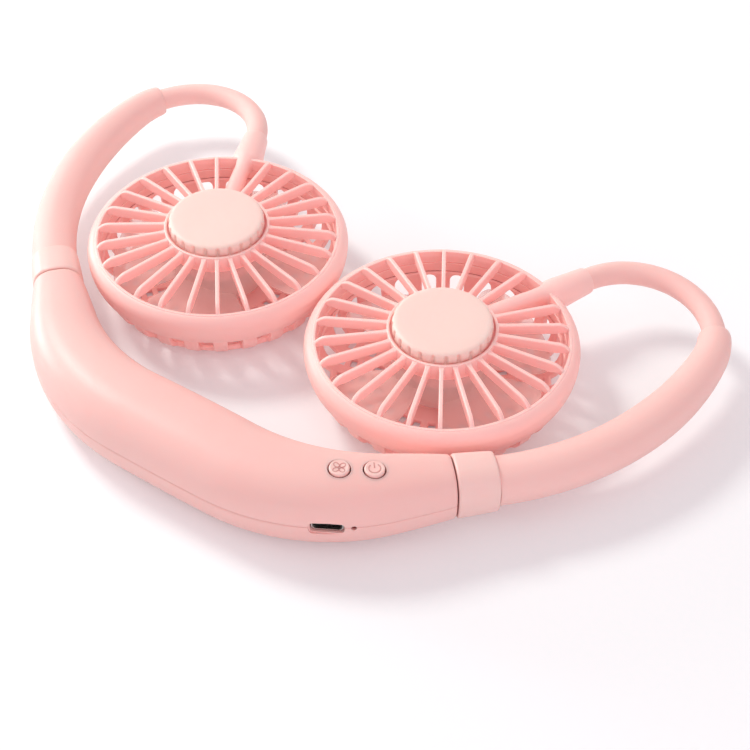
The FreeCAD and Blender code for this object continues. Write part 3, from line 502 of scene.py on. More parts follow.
def sweep(path, radii, around):
    """A round tube along points with their directions, one radius for each, ends closed."""
    rows = []
    for (point, way), radius in zip(path, radii):
        side = way.cross(UP).normalized()
        rise = side.cross(way).normalized()
        rows.append([point + side * a + rise * b for a, b in circle(around, radius)])
    return capped(rows)


def ribbon(path, width, height):
    """A raised rounded line along a path on an upper face, for a symbol."""
    section = ((-0.5, -0.6), (-0.5, 0.55), (-0.3, 1.0), (0.3, 1.0), (0.5, 0.55), (0.5, -0.6))
    rows = []
    for i, point in enumerate(path):
        before = path[max(i - 1, 0)]
        after = path[min(i + 1, len(path) - 1)]
        side = (after - before).normalized().cross(UP)
        rows.append([point + side * (across * width) + UP * (rise * height) for across, rise in section])
    return capped(rows)


def post(spot, radius, bottom, top, steps=40):
    """An upright cylinder."""
    return capped([[(spot.x + a, spot.y + b, z) for a, b in circle(steps, radius)] for z in (bottom, top)])


def prism(outline, base, across, way, depth):
    """An upright flat outline pushed along a direction."""
    return capped([[base + across * a + UP * b + way * shift for a, b in outline] for shift in (0, depth)])


def on_side(points, side):
    """The points as they are on the right, or mirrored for the left."""
    flip = 1 if side == "right" else -1
    return [Vector((flip * p.x, p.y, p.z)) for p in points]


def mirrored(form, side):
    """The form as it is on the right, or its mirror image on the left."""
    points, faces = form
    if side == "left":
        faces = [tuple(reversed(face)) for face in faces]
    return on_side(points, side), faces


# Meshes and objects.

def weld(mesh, gap, closed=True):
    """Merges points within the gap, drops faces without area and turns a closed form's faces outwards."""
    work = bmesh.new()
    work.from_mesh(mesh)
    bmesh.ops.remove_doubles(work, verts=work.verts, dist=gap * MM)
    bmesh.ops.dissolve_degenerate(work, edges=work.edges, dist=0.001 * MM)
    if closed:
        bmesh.ops.recalc_face_normals(work, faces=work.faces)
    work.to_mesh(mesh)
    work.free()
    return mesh


def as_mesh(name, form, closed=True):
    """A mesh in metres from a form in millimetres."""
    points, faces = form
    mesh = bpy.data.meshes.new(name)
    mesh.from_pydata([point * MM for point in points], [], faces)
    return weld(mesh, 0.002, closed)


def as_object(name, data):
    made = bpy.data.objects.new(name, data)
    bpy.context.scene.collection.objects.link(made)
    return made


def settle(made):
    """The object's mesh with its modifiers applied; the object itself goes."""
    bpy.context.view_layer.update()
    depsgraph = bpy.context.evaluated_depsgraph_get()
    mesh = bpy.data.meshes.new_from_object(made.evaluated_get(depsgraph))
    bpy.data.objects.remove(made)
    return mesh


def piece(name, mesh, material, nodes, body, sharp=38):
    """Finishes a piece: material, smooth shading, the nodes it stands for and the body it rides on."""
    made = as_object(name, mesh)
    mesh.name = name
    mesh.materials.clear()
    mesh.materials.append(finish(material))
    mesh.shade_smooth()
    mesh.set_sharp_from_angle(angle=math.radians(sharp))
    if nodes:
        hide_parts(*nodes)
    if body:
        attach(made, body)
    return made


def cut(mesh, cutters):
    """The mesh with each cutter form taken out of it."""
    base = as_object("cut_base", mesh)
    helpers = []
    for index, form in enumerate(cutters):
        helper = as_object("cutter_%d" % index, as_mesh("cutter", form))
        modifier = base.modifiers.new("cut", "BOOLEAN")
        modifier.object = helper
        modifier.operation = "DIFFERENCE"
        modifier.solver = "EXACT"
        helpers.append(helper)
    result = settle(base)
    for helper in helpers:
        bpy.data.objects.remove(helper)
    return result


def repeat_tree():
    """Geometry Nodes that repeat a shape round the Z axis, join the seams and set the finish."""
    tree = bpy.data.node_groups.get("repeat_round_axis")
    if tree is not None:
        return tree
    tree = bpy.data.node_groups.new("repeat_round_axis", "GeometryNodeTree")
    for name, kind in (("Shape", "Geometry"), ("Count", "Int"), ("First", "Int"), ("Join distance", "Float"),
                       ("Finish", "Material")):
        tree.interface.new_socket(name, in_out="INPUT", socket_type="NodeSocket" + kind)
    tree.interface.new_socket("Shape", in_out="OUTPUT", socket_type="NodeSocketGeometry")
    given = add(tree, "NodeGroupInput").outputs
    index = add(tree, "GeometryNodeInputIndex")
    step = add(tree, "ShaderNodeMath", {0: 2 * math.pi, 1: given["Count"]}, operation="DIVIDE")
    around = add(tree, "ShaderNodeMath", {0: index, 1: step}, operation="MULTIPLY")
    turn = add(tree, "ShaderNodeCombineXYZ", {"Z": around})
    wanted = add(tree, "FunctionNodeCompare", {2: index, 3: given["First"]}, data_type="INT",
                 operation="GREATER_EQUAL")
    places = add(tree, "GeometryNodePoints", {"Count": given["Count"]})
    copies = add(tree, "GeometryNodeInstanceOnPoints", {"Points": places, "Selection": wanted,
                                                        "Instance": given["Shape"], "Rotation": turn})
    solid = add(tree, "GeometryNodeRealizeInstances", {"Geometry": copies})
    merged = add(tree, "GeometryNodeMergeByDistance", {"Geometry": solid, "Distance": given["Join distance"]})
    dressed = add(tree, "GeometryNodeSetMaterial", {"Geometry": merged, "Material": given["Finish"]})
    add(tree, "NodeGroupOutput", {"Shape": dressed})
    return tree


def repeat_round(mesh, number, first, material):
    """A plain mesh of the shape repeated round the Z axis."""
    made = as_object("repeat", mesh)
    modifier = made.modifiers.new("repeat", "NODES")
    modifier.node_group = repeat_tree()
    values = {"Count": number, "First": first, "Join distance": 0.004 * MM, "Finish": finish(material)}
    for item in modifier.node_group.interface.items_tree:
        if item.in_out == "INPUT" and item.name in values:
            modifier[item.identifier] = values[item.name]
    return settle(made)


def combine(name, meshes):
    """One mesh from several."""
    work = bmesh.new()
    for mesh in meshes:
        work.from_mesh(mesh)
    mesh = bpy.data.meshes.new(name)
    work.to_mesh(mesh)
    work.free()
    return mesh


# The neckband. Its section is a squarer oval, split at the seam.

ROUNDNESS = 2.6
WIDTH_FALL = 2.3
HEIGHT_FALL = 2.2
BUTTON_RIM = ((0.0, -1.5), (0.0, -0.18), (0.06, -0.03), (0.18, 0.05), (0.34, 0.05), (0.5, -0.04), (0.5, -1.5))


def neck_half(k):
    """Length of the neckband's path from the middle of the back to one end."""
    return k.straight + k.bend_radius * k.bend_angle + k.end_straight


def neck_place(k, station):
    """Point on the neckband's path, the way along it and the way out of the ring."""
    side = 1.0 if station >= 0 else -1.0
    run = abs(station)
    bend_length = k.bend_radius * k.bend_angle
    turn = min(max(run - k.straight, 0.0), bend_length) / k.bend_radius
    tail = max(run - k.straight - bend_length, 0.0)
    x = min(run, k.straight) + k.bend_radius * math.sin(turn) + tail * math.cos(turn)
    y = k.bend_radius * (1 - math.cos(turn)) + tail * math.sin(turn)
    along = Vector((math.cos(turn), side * math.sin(turn), 0))
    out = Vector((side * math.sin(turn), -math.cos(turn), 0))
    return Vector((side * x, y, k.seam)), along, out


def neck_size(k, station):
    """Width and height of the section at a distance along the path."""
    share = min(abs(station) / neck_half(k), 1.0)
    width = k.end_width + (k.mid_width - k.end_width) * (1 - share ** WIDTH_FALL)
    height = k.end_height + (k.mid_height - k.end_height) * (1 - share ** HEIGHT_FALL)
    return width, height


def control_place(k, name):
    """A control's point on the path, the ways along and out, and the section's width and height there."""
    station = neck_half(k) - getattr(k, name + "_place")
    return (*neck_place(k, station), *neck_size(k, station))


def half_section(width, height, groove):
    """Across and rise of half the section, from one seam edge over to the other."""
    edge = (0.0, 0.1, 0.22, 0.4)
    crown_start = 0.7
    start = math.asin((2 * crown_start / height) ** (ROUNDNESS / 2))
    side = []
    for rise in edge:
        across = (1 - (2 * rise / height) ** ROUNDNESS) ** (1 / ROUNDNESS) * width / 2
        side.append((across - groove * (1 - rise / edge[-1]) ** 2, rise))
    crown = [(squircle(math.cos(turn), ROUNDNESS) * width / 2,
              squircle(math.sin(turn), ROUNDNESS) * height / 2)
             for turn in between(start, math.pi - start, 40)]
    return side + crown + [(-a, b) for a, b in reversed(side)]


def crown_height(k, x, y):
    """Height of the neckband's upper surface at a point near its right bend."""
    bend_length = k.bend_radius * k.bend_angle
    turn = math.atan2(x - k.straight, k.bend_radius - y)
    if turn < k.bend_angle:
        station = k.straight + turn * k.bend_radius
        out = math.hypot(x - k.straight, k.bend_radius - y) - k.bend_radius
    else:
        point, along, outward = neck_place(k, k.straight + bend_length)
        gap = Vector((x - point.x, y - point.y, 0))
        station = k.straight + bend_length + gap.dot(along)
        out = gap.dot(outward)
    width, height = neck_size(k, station)
    return k.seam + (1 - min(abs(2 * out / width), 1.0) ** ROUNDNESS) ** (1 / ROUNDNESS) * height / 2


def shell_form(k, upward):
    """One neckband shell: outer skin with a rounded seam edge, inner skin, end walls with a spigot hole."""
    reach = neck_half(k)
    stations = [(station, 0.0, False) for station in between(k.wall - reach, reach - k.wall, 160)]
    tail = [(reach - k.wall + 0.01, 0.0, True), (reach - 0.9, 0.0, True), (reach - 0.45, 0.05, True),
            (reach - 0.15, 0.18, True), (reach, 0.42, True)]
    stations = [(-s, inset, hole) for s, inset, hole in reversed(tail)] + stations + tail
    sign = 1 if upward else -1
    rows = []
    for station, inset, hole in stations:
        point, along, out = neck_place(k, station)
        width, height = neck_size(k, station)
        outer = half_section(width - 2 * inset, height - 2 * inset, k.groove)
        if hole:
            inner = [(k.spigot * math.cos(turn), k.spigot * math.sin(turn))
                     for turn in between(0.0, math.pi, len(outer) - 1)]
        else:
            inner = half_section(width - 2 * k.wall, height - 2 * k.wall, 0.0)
        row = []
        for across, rise in outer + inner[::-1]:
            spot = point + out * across
            spot.z = max(k.seam + sign * rise, 0.0)
            row.append(spot)
        rows.append(row)
    return quad_capped(rows)


def rim_form(k, spot, hole):
    """The raised rim round a button's hole, on the curved crown."""
    rows = []
    for c, s in circle(64, 1.0):
        row = []
        for reach, lift in BUTTON_RIM:
            at = spot + Vector((c, s, 0)) * (hole + reach)
            at.z = crown_height(k, at.x, at.y) + lift
            row.append(at)
        rows.append(row)
    return grid(rows, close_rows=True, close_columns=True)


class NECKFAN_OT_neckband(bpy.types.Operator):
    """Makes the two neckband shells with their seam, openings and button rims"""
    bl_idname = "neckfan.neckband"
    bl_label = "Neckband shells"

    def execute(self, context):
        k = sizes(context.scene.neck_fan_neckband)
        port, along, out, width, height = control_place(k, "port")
        clearance = 0.25
        flare = 0.35
        reach = 4.0
        half = k.port_width / 2 + clearance
        rise = k.port_height / 2 + clearance
        mouth = rounded(box(half, -rise, rise), 0.9)
        rim = rounded(box(half + flare, -rise - flare, rise + flare), 1.2)
        cutters = [prism(mouth, port + out * (width / 2 - reach), along, out, 2 * reach),
                   prism(rim, port + out * (width / 2 - flare), along, out, reach)]
        light, along, out, width, height = control_place(k, "light")
        cutters.append(prism(circle(24, k.light_hole), light + out * (width / 2 - reach), along, out,
                             2 * reach))
        top_cuts = list(cutters)
        rims = []
        for name in ("speed", "power"):
            spot, along, out, width, height = control_place(k, name)
            hole = k.button_radius + k.button_gap
            crown = k.seam + height / 2
            top_cuts.append(post(spot, hole + 0.12, crown - 4, crown + 3, 64))
            rims.append(rim_form(k, spot, hole))
        top = cut(as_mesh("top", shell_form(k, True)), top_cuts)
        top = combine("neckband_top", [top, as_mesh("rims", join(*rims))])
        piece("neckband_top", top, "shell_abs", ["neckband_top_shell"], "neckband")
        for station in (-k.screw_place, k.screw_place):
            spot = neck_place(k, station)[0]
            cutters.append(post(spot, k.screw_head, -1, 3.4))
            cutters.append(post(spot, k.screw_shank, 3.0, 6.0))
        bottom = cut(as_mesh("bottom", shell_form(k, False)), cutters)
        piece("neckband_bottom", bottom, "shell_abs", ["neckband_bottom_shell"], "neckband")
        return {"FINISHED"}


class NECKFAN_OT_collars(bpy.types.Operator):
    """Makes the barrel collars between the neckband and the arms"""
    bl_idname = "neckfan.collars"
    bl_label = "Collars"

    def execute(self, context):
        k = sizes(context.scene.neck_fan_neckband)
        run = k.collar_length
        around = 72
        spigot_bore = 3.6
        arm_bore = 5.7
        rim = [(0.0, 0.5), (0.12, 0.2), (0.4, 0.03), (0.8, 0.0)]
        steps = rim + [(shift, 0.0) for shift in between(0.8, run - 0.8, 8)[1:-1]]
        steps += [(run - shift, inset) for shift, inset in reversed(rim)]
        for side, sign in zip(SIDES, (1, -1)):
            end, along, out = neck_place(k, sign * neck_half(k))
            rows = []
            for shift, inset in steps:
                share = shift / run
                swell = 4 * k.collar_swell * share * (1 - share)
                width = k.collar_width + (k.collar_end_width - k.collar_width) * share + swell
                height = k.collar_height + (k.collar_end_height - k.collar_height) * share + swell
                rows.append([(squircle(c, ROUNDNESS) * (width / 2 - inset), shift,
                              squircle(s, ROUNDNESS) * (height / 2 - inset)) for c, s in circle(around, 1.0)])
            rows.insert(0, [(a, 0.0, b) for a, b in circle(around, spigot_bore)])
            rows.append([(a, run, b) for a, b in circle(around, arm_bore)])
            rows = [[end + along * (sign * (k.collar_gap + shift)) + out * across + UP * rise
                     for across, shift, rise in row] for row in rows]
            mesh = as_mesh("collar", grid(rows, close_rows=True, close_columns=True))
            piece(side + "_barrel_collar", mesh, "collar_abs", [side + "_collar"], "neckband")
        return {"FINISHED"}


def symbol_lines(name):
    """A generic symbol's lines as angle and radius: a broken ring and bar for power, or blades round a hub."""
    if name == "power":
        ring = [(math.radians(turn), 1.35) for turn in between(40, 320, 24)]
        return [ring, [(0, 1.75), (0, 1.0), (0, 0.2)]]
    blade = [(math.radians(95) * t, 0.3 + 1.45 * math.sin(math.pi * t)) for t in between(0, 1, 16)]
    lines = [[(turn + math.radians(90 * i), radius) for turn, radius in blade] for i in range(4)]
    return lines + [[(math.radians(turn), 0.3) for turn in between(0, 360, 12)]]


class NECKFAN_OT_controls(bpy.types.Operator):
    """Makes the two push buttons with their symbols, the charging port and the charge light"""
    bl_idname = "neckfan.controls"
    bl_label = "Buttons, port and light"

    def execute(self, context):
        k = sizes(context.scene.neck_fan_neckband)
        for name, line_width in (("speed", 0.24), ("power", 0.3)):
            self.button(k, name, line_width)
        self.port(k)
        light, along, out, width, height = control_place(k, "light")
        lens = ((0.0, -0.4), (0.25, -0.42), (0.45, -0.5), (0.58, -0.62), (0.64, -0.8), (0.64, -4.2),
                (0.0, -4.2))
        rows = [[light + out * (width / 2 + shift) + along * a + UP * b for a, b in circle(28, radius)]
                for radius, shift in lens]
        piece("charge_light_lens", as_mesh("lens", grid(rows, close_columns=True)), "light_lens",
              ["charge_light"], "neckband")
        return {"FINISHED"}

    def button(self, k, name, line_width):
        """A dished button on its stem, with its symbol raised on the dish."""
        spot, along, out, width, height = control_place(k, name)
        top = k.seam + height / 2 + k.button_proud
        r = k.button_radius
        line_height = 0.14
        profile = ((0, 0.16), (0.5, 0.155), (1.1, 0.13), (1.7, 0.07), (2.0, 0.02), (r - 0.4, 0.0),
                   (r - 0.22, 0.04), (r - 0.08, 0.14), (r, 0.32), (r, 3.1), (r + 0.6, 3.1), (r + 0.6, 3.8),
                   (1.4, 3.8), (1.4, 5.8), (0, 5.8))
        points, faces = lathe([(radius, top - drop) for radius, drop in profile], 56, ring=False)
        body = [point + Vector((spot.x, spot.y, 0)) for point in points], faces
        centre = Vector((spot.x, spot.y, top - line_height))
        marks = []
        for line in symbol_lines(name):
            path = [centre + along * (radius * math.sin(turn)) - out * (radius * math.cos(turn))
                    for turn, radius in line]
            marks.append(ribbon(path, line_width, line_height))
        piece(name + "_push_button", as_mesh("body", body), "collar_abs", [name + "_button"],
              name + "_button")
        # The symbol's deeper pink is painted shade.
        piece(name + "_symbol", as_mesh("marks", join(*marks)), "symbol_shade_tone", [], name + "_button")

    def port(self, k):
        """The plated receptacle with its keyed mouth, its tongue and five contacts."""
        port, along, out, width, height = control_place(k, "port")
        half = k.port_width / 2
        low, high = -k.port_height / 2, k.port_height / 2
        outer = rounded([(-half, high), (half, high), (half, low + 0.8), (half - 0.8, low),
                         (0.8 - half, low), (-half, low + 0.8)], 0.4)
        inner = rounded([(0.3 - half, high - 0.3), (half - 0.3, high - 0.3), (half - 0.3, low + 0.9),
                         (half - 0.95, low + 0.3), (0.95 - half, low + 0.3), (0.3 - half, low + 0.9)], 0.3)
        mouth = port + out * (width / 2 - k.port_inset)
        middle = [(0.0, 0.0)] * len(outer)
        rows = [[mouth + along * a + UP * b + out * shift for a, b in outline] for outline, shift in (
            (middle, -4.6), (inner, -4.6), (inner, -0.12), (inner, 0.0), (outer, 0.0), (outer, -0.12),
            (outer, -5.4), (middle, -5.4))]
        shell = as_mesh("port", grid(rows, close_columns=True))
        piece("charge_port_shell", shell, "nickel_plate", ["charge_port"], "neckband")
        tongue = rounded(box(1.9, high - 1.0, high - 0.3), 0.12)
        bar = prism(tongue, mouth - out * 4.7, along, out, 4.0)
        contact = box(0.2, high - 1.06, high - 0.95)
        strips = [prism(contact, mouth + along * shift - out * 4.2, along, out, 3.2)
                  for shift in between(-1.3, 1.3, 4)]
        piece("charge_port_tongue", as_mesh("tongue", bar), "black_nylon", [], "neckband")
        piece("charge_port_contacts", as_mesh("contacts", join(*strips)), "nickel_plate", [],
              "neckband")


# The arms: two arcs from the collar to the head's socket.

def arm_arcs(k, a, h):
    """The right arm's two arcs as centre, start arm, axis and turn, with its start, mouth and directions."""
    end, along, out = neck_place(k, neck_half(k))
    start = end + along * (k.collar_gap + k.collar_length)
    head_way = Vector((math.sin(h.turn), math.cos(h.turn), 0))
    mouth = Vector((h.centre_x, h.centre_y, h.socket)) + head_way * h.reach
    end_way = -head_way
    gap = mouth - start
    first = a.bend_share * gap.length
    spread = gap.dot(end_way) - first * (along.dot(end_way) - 1)
    second = (gap.dot(gap) / 2 - first * gap.dot(along)) / spread
    corner_one = start + along * first
    corner_two = mouth - end_way * second
    joint = corner_one + (corner_two - corner_one) * (first / (first + second))
    arcs = []
    for begin, corner, stop in ((start, corner_one, joint), (joint, corner_two, mouth)):
        back = (begin - corner).normalized()
        ahead = (stop - corner).normalized()
        half = back.angle(ahead) / 2
        centre = corner + (back + ahead).normalized() * ((begin - corner).length / math.cos(half))
        axis = (begin - centre).cross(stop - centre).normalized()
        arcs.append((centre, begin - centre, axis, math.pi - 2 * half))
    return arcs, start, along, mouth, head_way


def arm_place(arcs, distance):
    """Point and direction at a distance along the arm."""
    for index, (centre, arm, axis, turn) in enumerate(arcs):
        run = arm.length * turn
        if distance <= run or index == len(arcs) - 1:
            spun = Matrix.Rotation(distance / arm.length, 3, axis) @ arm
            return centre + spun, axis.cross(spun).normalized()
        distance -= run
    raise ValueError("the arm has no arcs")


def arm_run(arcs, start, end, steps):
    return [arm_place(arcs, distance) for distance in between(start, end, steps)]


def spigot_tip(k, start, way):
    """Inner end of the sleeve's spigot, a little past the neckband's end wall."""
    past = 1.5
    return start - way * (k.collar_length + k.collar_gap + k.wall + past)


def sleeve_form(k, a, arcs, start, way, sleeve):
    """The thick sleeve: flanged spigot through the collar, rounded shoulder, long taper and a soft step."""
    spigot = spigot_tip(k, start, way)
    path = [(spigot, way), (spigot + way * 1.4, way), (spigot + way * 1.41, way), (start - way * 0.02, way)]
    radii = [a.spigot_flange, a.spigot_flange, a.spigot, a.spigot]
    for distance, shrink in ((0.0, 0.35), (0.15, 0.1), (0.45, 0.0)):
        path.append(arm_place(arcs, distance))
        radii.append(a.sleeve_start - shrink)
    for distance in between(0.0, sleeve - 1.3, 60)[1:]:
        share = distance / sleeve
        if share < 0.5:
            radius = a.sleeve_start + (a.sleeve_middle - a.sleeve_start) * 2 * share
        else:
            radius = a.sleeve_middle + (a.sleeve_end - a.sleeve_middle) * (2 * share - 1) ** 1.6
        path.append(arm_place(arcs, distance))
        radii.append(radius)
    for back, shrink in ((0.9, 0.02), (0.5, 0.1), (0.22, 0.25), (0.05, 0.5), (0.0, 0.8), (0.12, 1.25)):
        path.append(arm_place(arcs, sleeve - back))
        radii.append(a.sleeve_end - shrink)
    return sweep(path, radii, 48)


def lead_line(name, controls, radius):
    """A mesh tube on a smooth spline with these control points."""
    curve = bpy.data.curves.new(name, "CURVE")
    curve.dimensions = "3D"
    curve.bevel_depth = radius * MM
    curve.bevel_resolution = 3
    curve.use_fill_caps = True
    spline = curve.splines.new("NURBS")
    spline.points.add(len(controls) - 1)
    for point, control in zip(spline.points, controls):
        point.co = (*(control * MM), 1.0)
    spline.use_endpoint_u = True
    spline.order_u = 3
    spline.resolution_u = 8
    mesh = settle(as_object(name, curve))
    bpy.data.curves.remove(curve)
    return mesh


def lead_route(k, a, side):
    """Control points of a motor lead inside the neckband, from the board to the arm on its side."""
    def inside(station, out_by, height):
        point, along, out = neck_place(k, station)
        return Vector((point.x + out.x * out_by, point.y + out.y * out_by, height))

    end = neck_half(k)
    board = end - k.board_place
    low = k.seam - k.port_height / 2 + a.lead
    over = 16.0 + a.lead + 0.3
    if side == "right":
        return [inside(board + 8.5, -3.35, low), inside(board + 11, -3.35, low), inside(end - 6.5, 0, k.seam)]
    route = [inside(board - 8.5, -3.35, low), inside(board - 11, -3.35, low)]
    route += [inside(s, -4.3, over) for s in (31.4, 21.8, 13.9, 0.0, -13.9, -21.8, -29.9)]
    route += [inside(-0.6 * end, -3.2, 16.2), inside(-0.77 * end, -1.2, 13.0)]
    return route + [inside(6.5 - end, 0, k.seam)]


class NECKFAN_OT_arms(bpy.types.Operator):
    """Makes the soft sleeves, the bendable tubes, their gooseneck cores and the motor leads"""
    bl_idname = "neckfan.arms"
    bl_label = "Arms"

    def execute(self, context):
        k = sizes(context.scene.neck_fan_neckband)
        h = sizes(context.scene.neck_fan_head)
        a = sizes(context.scene.neck_fan_arm)
        arcs, start, way, mouth, head_way = arm_arcs(k, a, h)
        first_run, second_run = [arm.length * turn for centre, arm, axis, turn in arcs]
        whole = first_run + second_run
        sleeve = first_run + a.overrun
        spigot = spigot_tip(k, start, way)
        tube_path = arm_run(arcs, sleeve - 0.6, whole, 90)
        tube_path += [(mouth - head_way * shift, -head_way) for shift in (0.5, 1.0, 1.5)]

        core_steps = int(whole / (a.core_pitch / 5))
        core_path = [(spigot + way * shift, way) for shift in (0.0, 3.0, 6.0, 9.0)]
        split = len(core_path) + int(core_steps * (sleeve - 0.3) / whole)
        core_path += arm_run(arcs, 0.0, whole, core_steps)
        core_path += [(mouth - head_way * shift, -head_way) for shift in (1.0, 2.0, 3.0, 4.0, 5.4)]
        radii = []
        travelled = 0.0
        for i, (point, direction) in enumerate(core_path):
            if i:
                travelled += (point - core_path[i - 1][0]).length
            ripple = 0.5 + 0.5 * math.cos(2 * math.pi * travelled / a.core_pitch)
            radii.append(a.core - a.core_groove * ripple)
        forms = {
            "sleeve": sleeve_form(k, a, arcs, start, way, sleeve),
            "tube": sweep(tube_path, [a.tube] * len(tube_path), 40),
            "near_core": sweep(core_path[:split + 1], radii[:split + 1], 16),
            "far_core": sweep(core_path[split:], radii[split:], 16),
        }
        in_sleeve = [point for point, direction in arm_run(arcs, 0.0, sleeve, 14)]
        in_tube = [point for point, direction in arm_run(arcs, sleeve, whole, 10)]
        in_head = [mouth - head_way * 0.6]
        stops = ((33.6, h.socket), (31.0, h.socket + 0.1), (15.5, 16.5), (13.0, 16.6), (8.5, 16.6))
        for reach, height in stops:
            in_head.append(Vector((h.centre_x, h.centre_y, height)) + head_way * reach)
        bend_start = arm_place(arcs, sleeve + 0.35 * (whole - sleeve))[0]
        for side in SIDES:
            meshes = {name: as_mesh(name, mirrored(form, side)) for name, form in forms.items()}
            core = [side + "_gooseneck"]
            lead = [side + "_motor_lead"]
            piece(side + "_soft_sleeve", meshes["sleeve"], "arm_silicone", [side + "_arm_sleeve"],
                  "neckband")
            made = piece(side + "_bend_tube", meshes["tube"], "arm_silicone",
                         [side + "_flex_tube"], None)
            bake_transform(made)
            piece(side + "_core_in_sleeve", meshes["near_core"], "drawn_steel", core, "neckband")
            made = piece(side + "_core_in_tube", meshes["far_core"], "drawn_steel", core, None)
            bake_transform(made)
            line = lead_line("lead", lead_route(k, a, side) + on_side(in_sleeve, side), a.lead)
            piece(side + "_lead_in_sleeve", line, "pvc_lead", lead, "neckband")
            line = lead_line("lead", on_side(in_tube, side), a.lead)
            made = piece(side + "_lead_in_tube", line, "pvc_lead", lead, None)
            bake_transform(made)
            line = lead_line("lead", on_side(in_head, side), a.lead)
            piece(side + "_lead_in_head", line, "pvc_lead", lead, side + "_head")
        return {"FINISHED"}


# Fan heads. Each piece is made round the fan's own axis with the wire channel along Y, then seated.

HOOPS = (18.4, 21.6, 24.8, 28.0)
HOOP_HALF = 0.75


def seat(mesh, h, side):
    """A copy of a mesh, moved from the fan's own axes to its head."""
    place = Matrix.Translation((h.centre_x * MM, h.centre_y * MM, 0)) @ Matrix.Rotation(-h.turn, 4, "Z")
    copy = mesh.copy()
    if side == "left":
        copy.transform(Matrix.Scale(-1, 4, (1, 0, 0)) @ place)
        copy.flip_normals()
    else:
        copy.transform(place)
    return copy


def on_heads(mesh, h, name, material, node, body, sharp=38):
    """A piece on each head from one mesh round the fan's own axis."""
    for side in SIDES:
        piece(side + name, seat(mesh, h, side), material, [side + node], side + body, sharp)


def vane_form(h):
    """One vane along Y: almost straight from the hub, over a knee to the lip, flared at its root."""
    root = h.hub_radius - 0.5
    end = h.ring_inner + 0.65
    knee = h.ring_inner - 2.7
    knee_top = h.lip_top + 1.8
    top = list(zip(between(root, knee, 22), between(h.hub_top - 0.3, knee_top, 22)))[:-1]
    top += arc3((knee, knee_top), ((knee + end) / 2 + 0.38, h.lip_top + 1.2), (end, h.lip_top - 0.2), 8)
    edge = h.vane_edge
    rows = []
    for r, z in top:
        share = max(0.0, (r - knee) / (end - knee))
        depth = h.vane_depth - 1.2 * share
        half = h.vane_thickness / 2 + 0.3 * math.exp(-max(r - h.hub_radius, 0.0) / 0.5)
        right = [(half - edge, 0.0), (half - 0.08, 0.1), (half, edge), (half, depth / 2),
                 (half, depth - edge), (half - edge, depth)]
        section = [(-across, drop) for across, drop in reversed(right)][1:] + right
        section.append((-half + edge, depth))
        rows.append([(across, r, z - drop) for across, drop in section])
    return capped(rows)


def channel_form(h):
    """Wire channel from the hub to the rim, widening over the lip into the round socket with its bore."""
    hub = h.hub_top - 3.6
    tip = h.reach
    low = h.socket
    steps = ((h.hub_radius - 0.6, 5.4, 6.0, hub), (h.hub_radius + 0.4, 4.7, 5.7, hub),
             (h.hub_radius + 1.4, 4.4, 5.6, hub), (20.0, 4.2, 5.35, 16.7), (25.0, 4.0, 5.1, 16.4),
             (28.5, 3.9, 4.95, 16.1), (30.2, 4.1, 5.1, 15.9), (31.4, 4.9, 5.7, 15.5), (32.4, 6.3, 6.8, 14.95),
             (33.2, 7.8, 8.0, 14.5), (34.0, 8.5, 8.55, low), (36.0, 8.4, 8.4, low), (tip - 4, 7.6, 7.6, low),
             (tip - 0.9, 7.2, 7.2, low), (tip - 0.35, 7.1, 7.1, low), (tip - 0.08, 6.9, 6.9, low),
             (tip, 6.6, 6.6, low), (tip, 6.25, 6.25, low), (tip - 4.5, 6.1, 6.1, low))
    rows = []
    for reach, width, height, middle in steps:
        rise = max(height - width, 0.0) / 2
        row = []
        for i, (across, up) in enumerate(circle(36, width / 2)):
            lift = rise if math.sin(math.pi * i / 18) >= 0 else -rise
            row.append((across, reach, middle + lift + up))
        rows.append(row)
    return capped(rows)


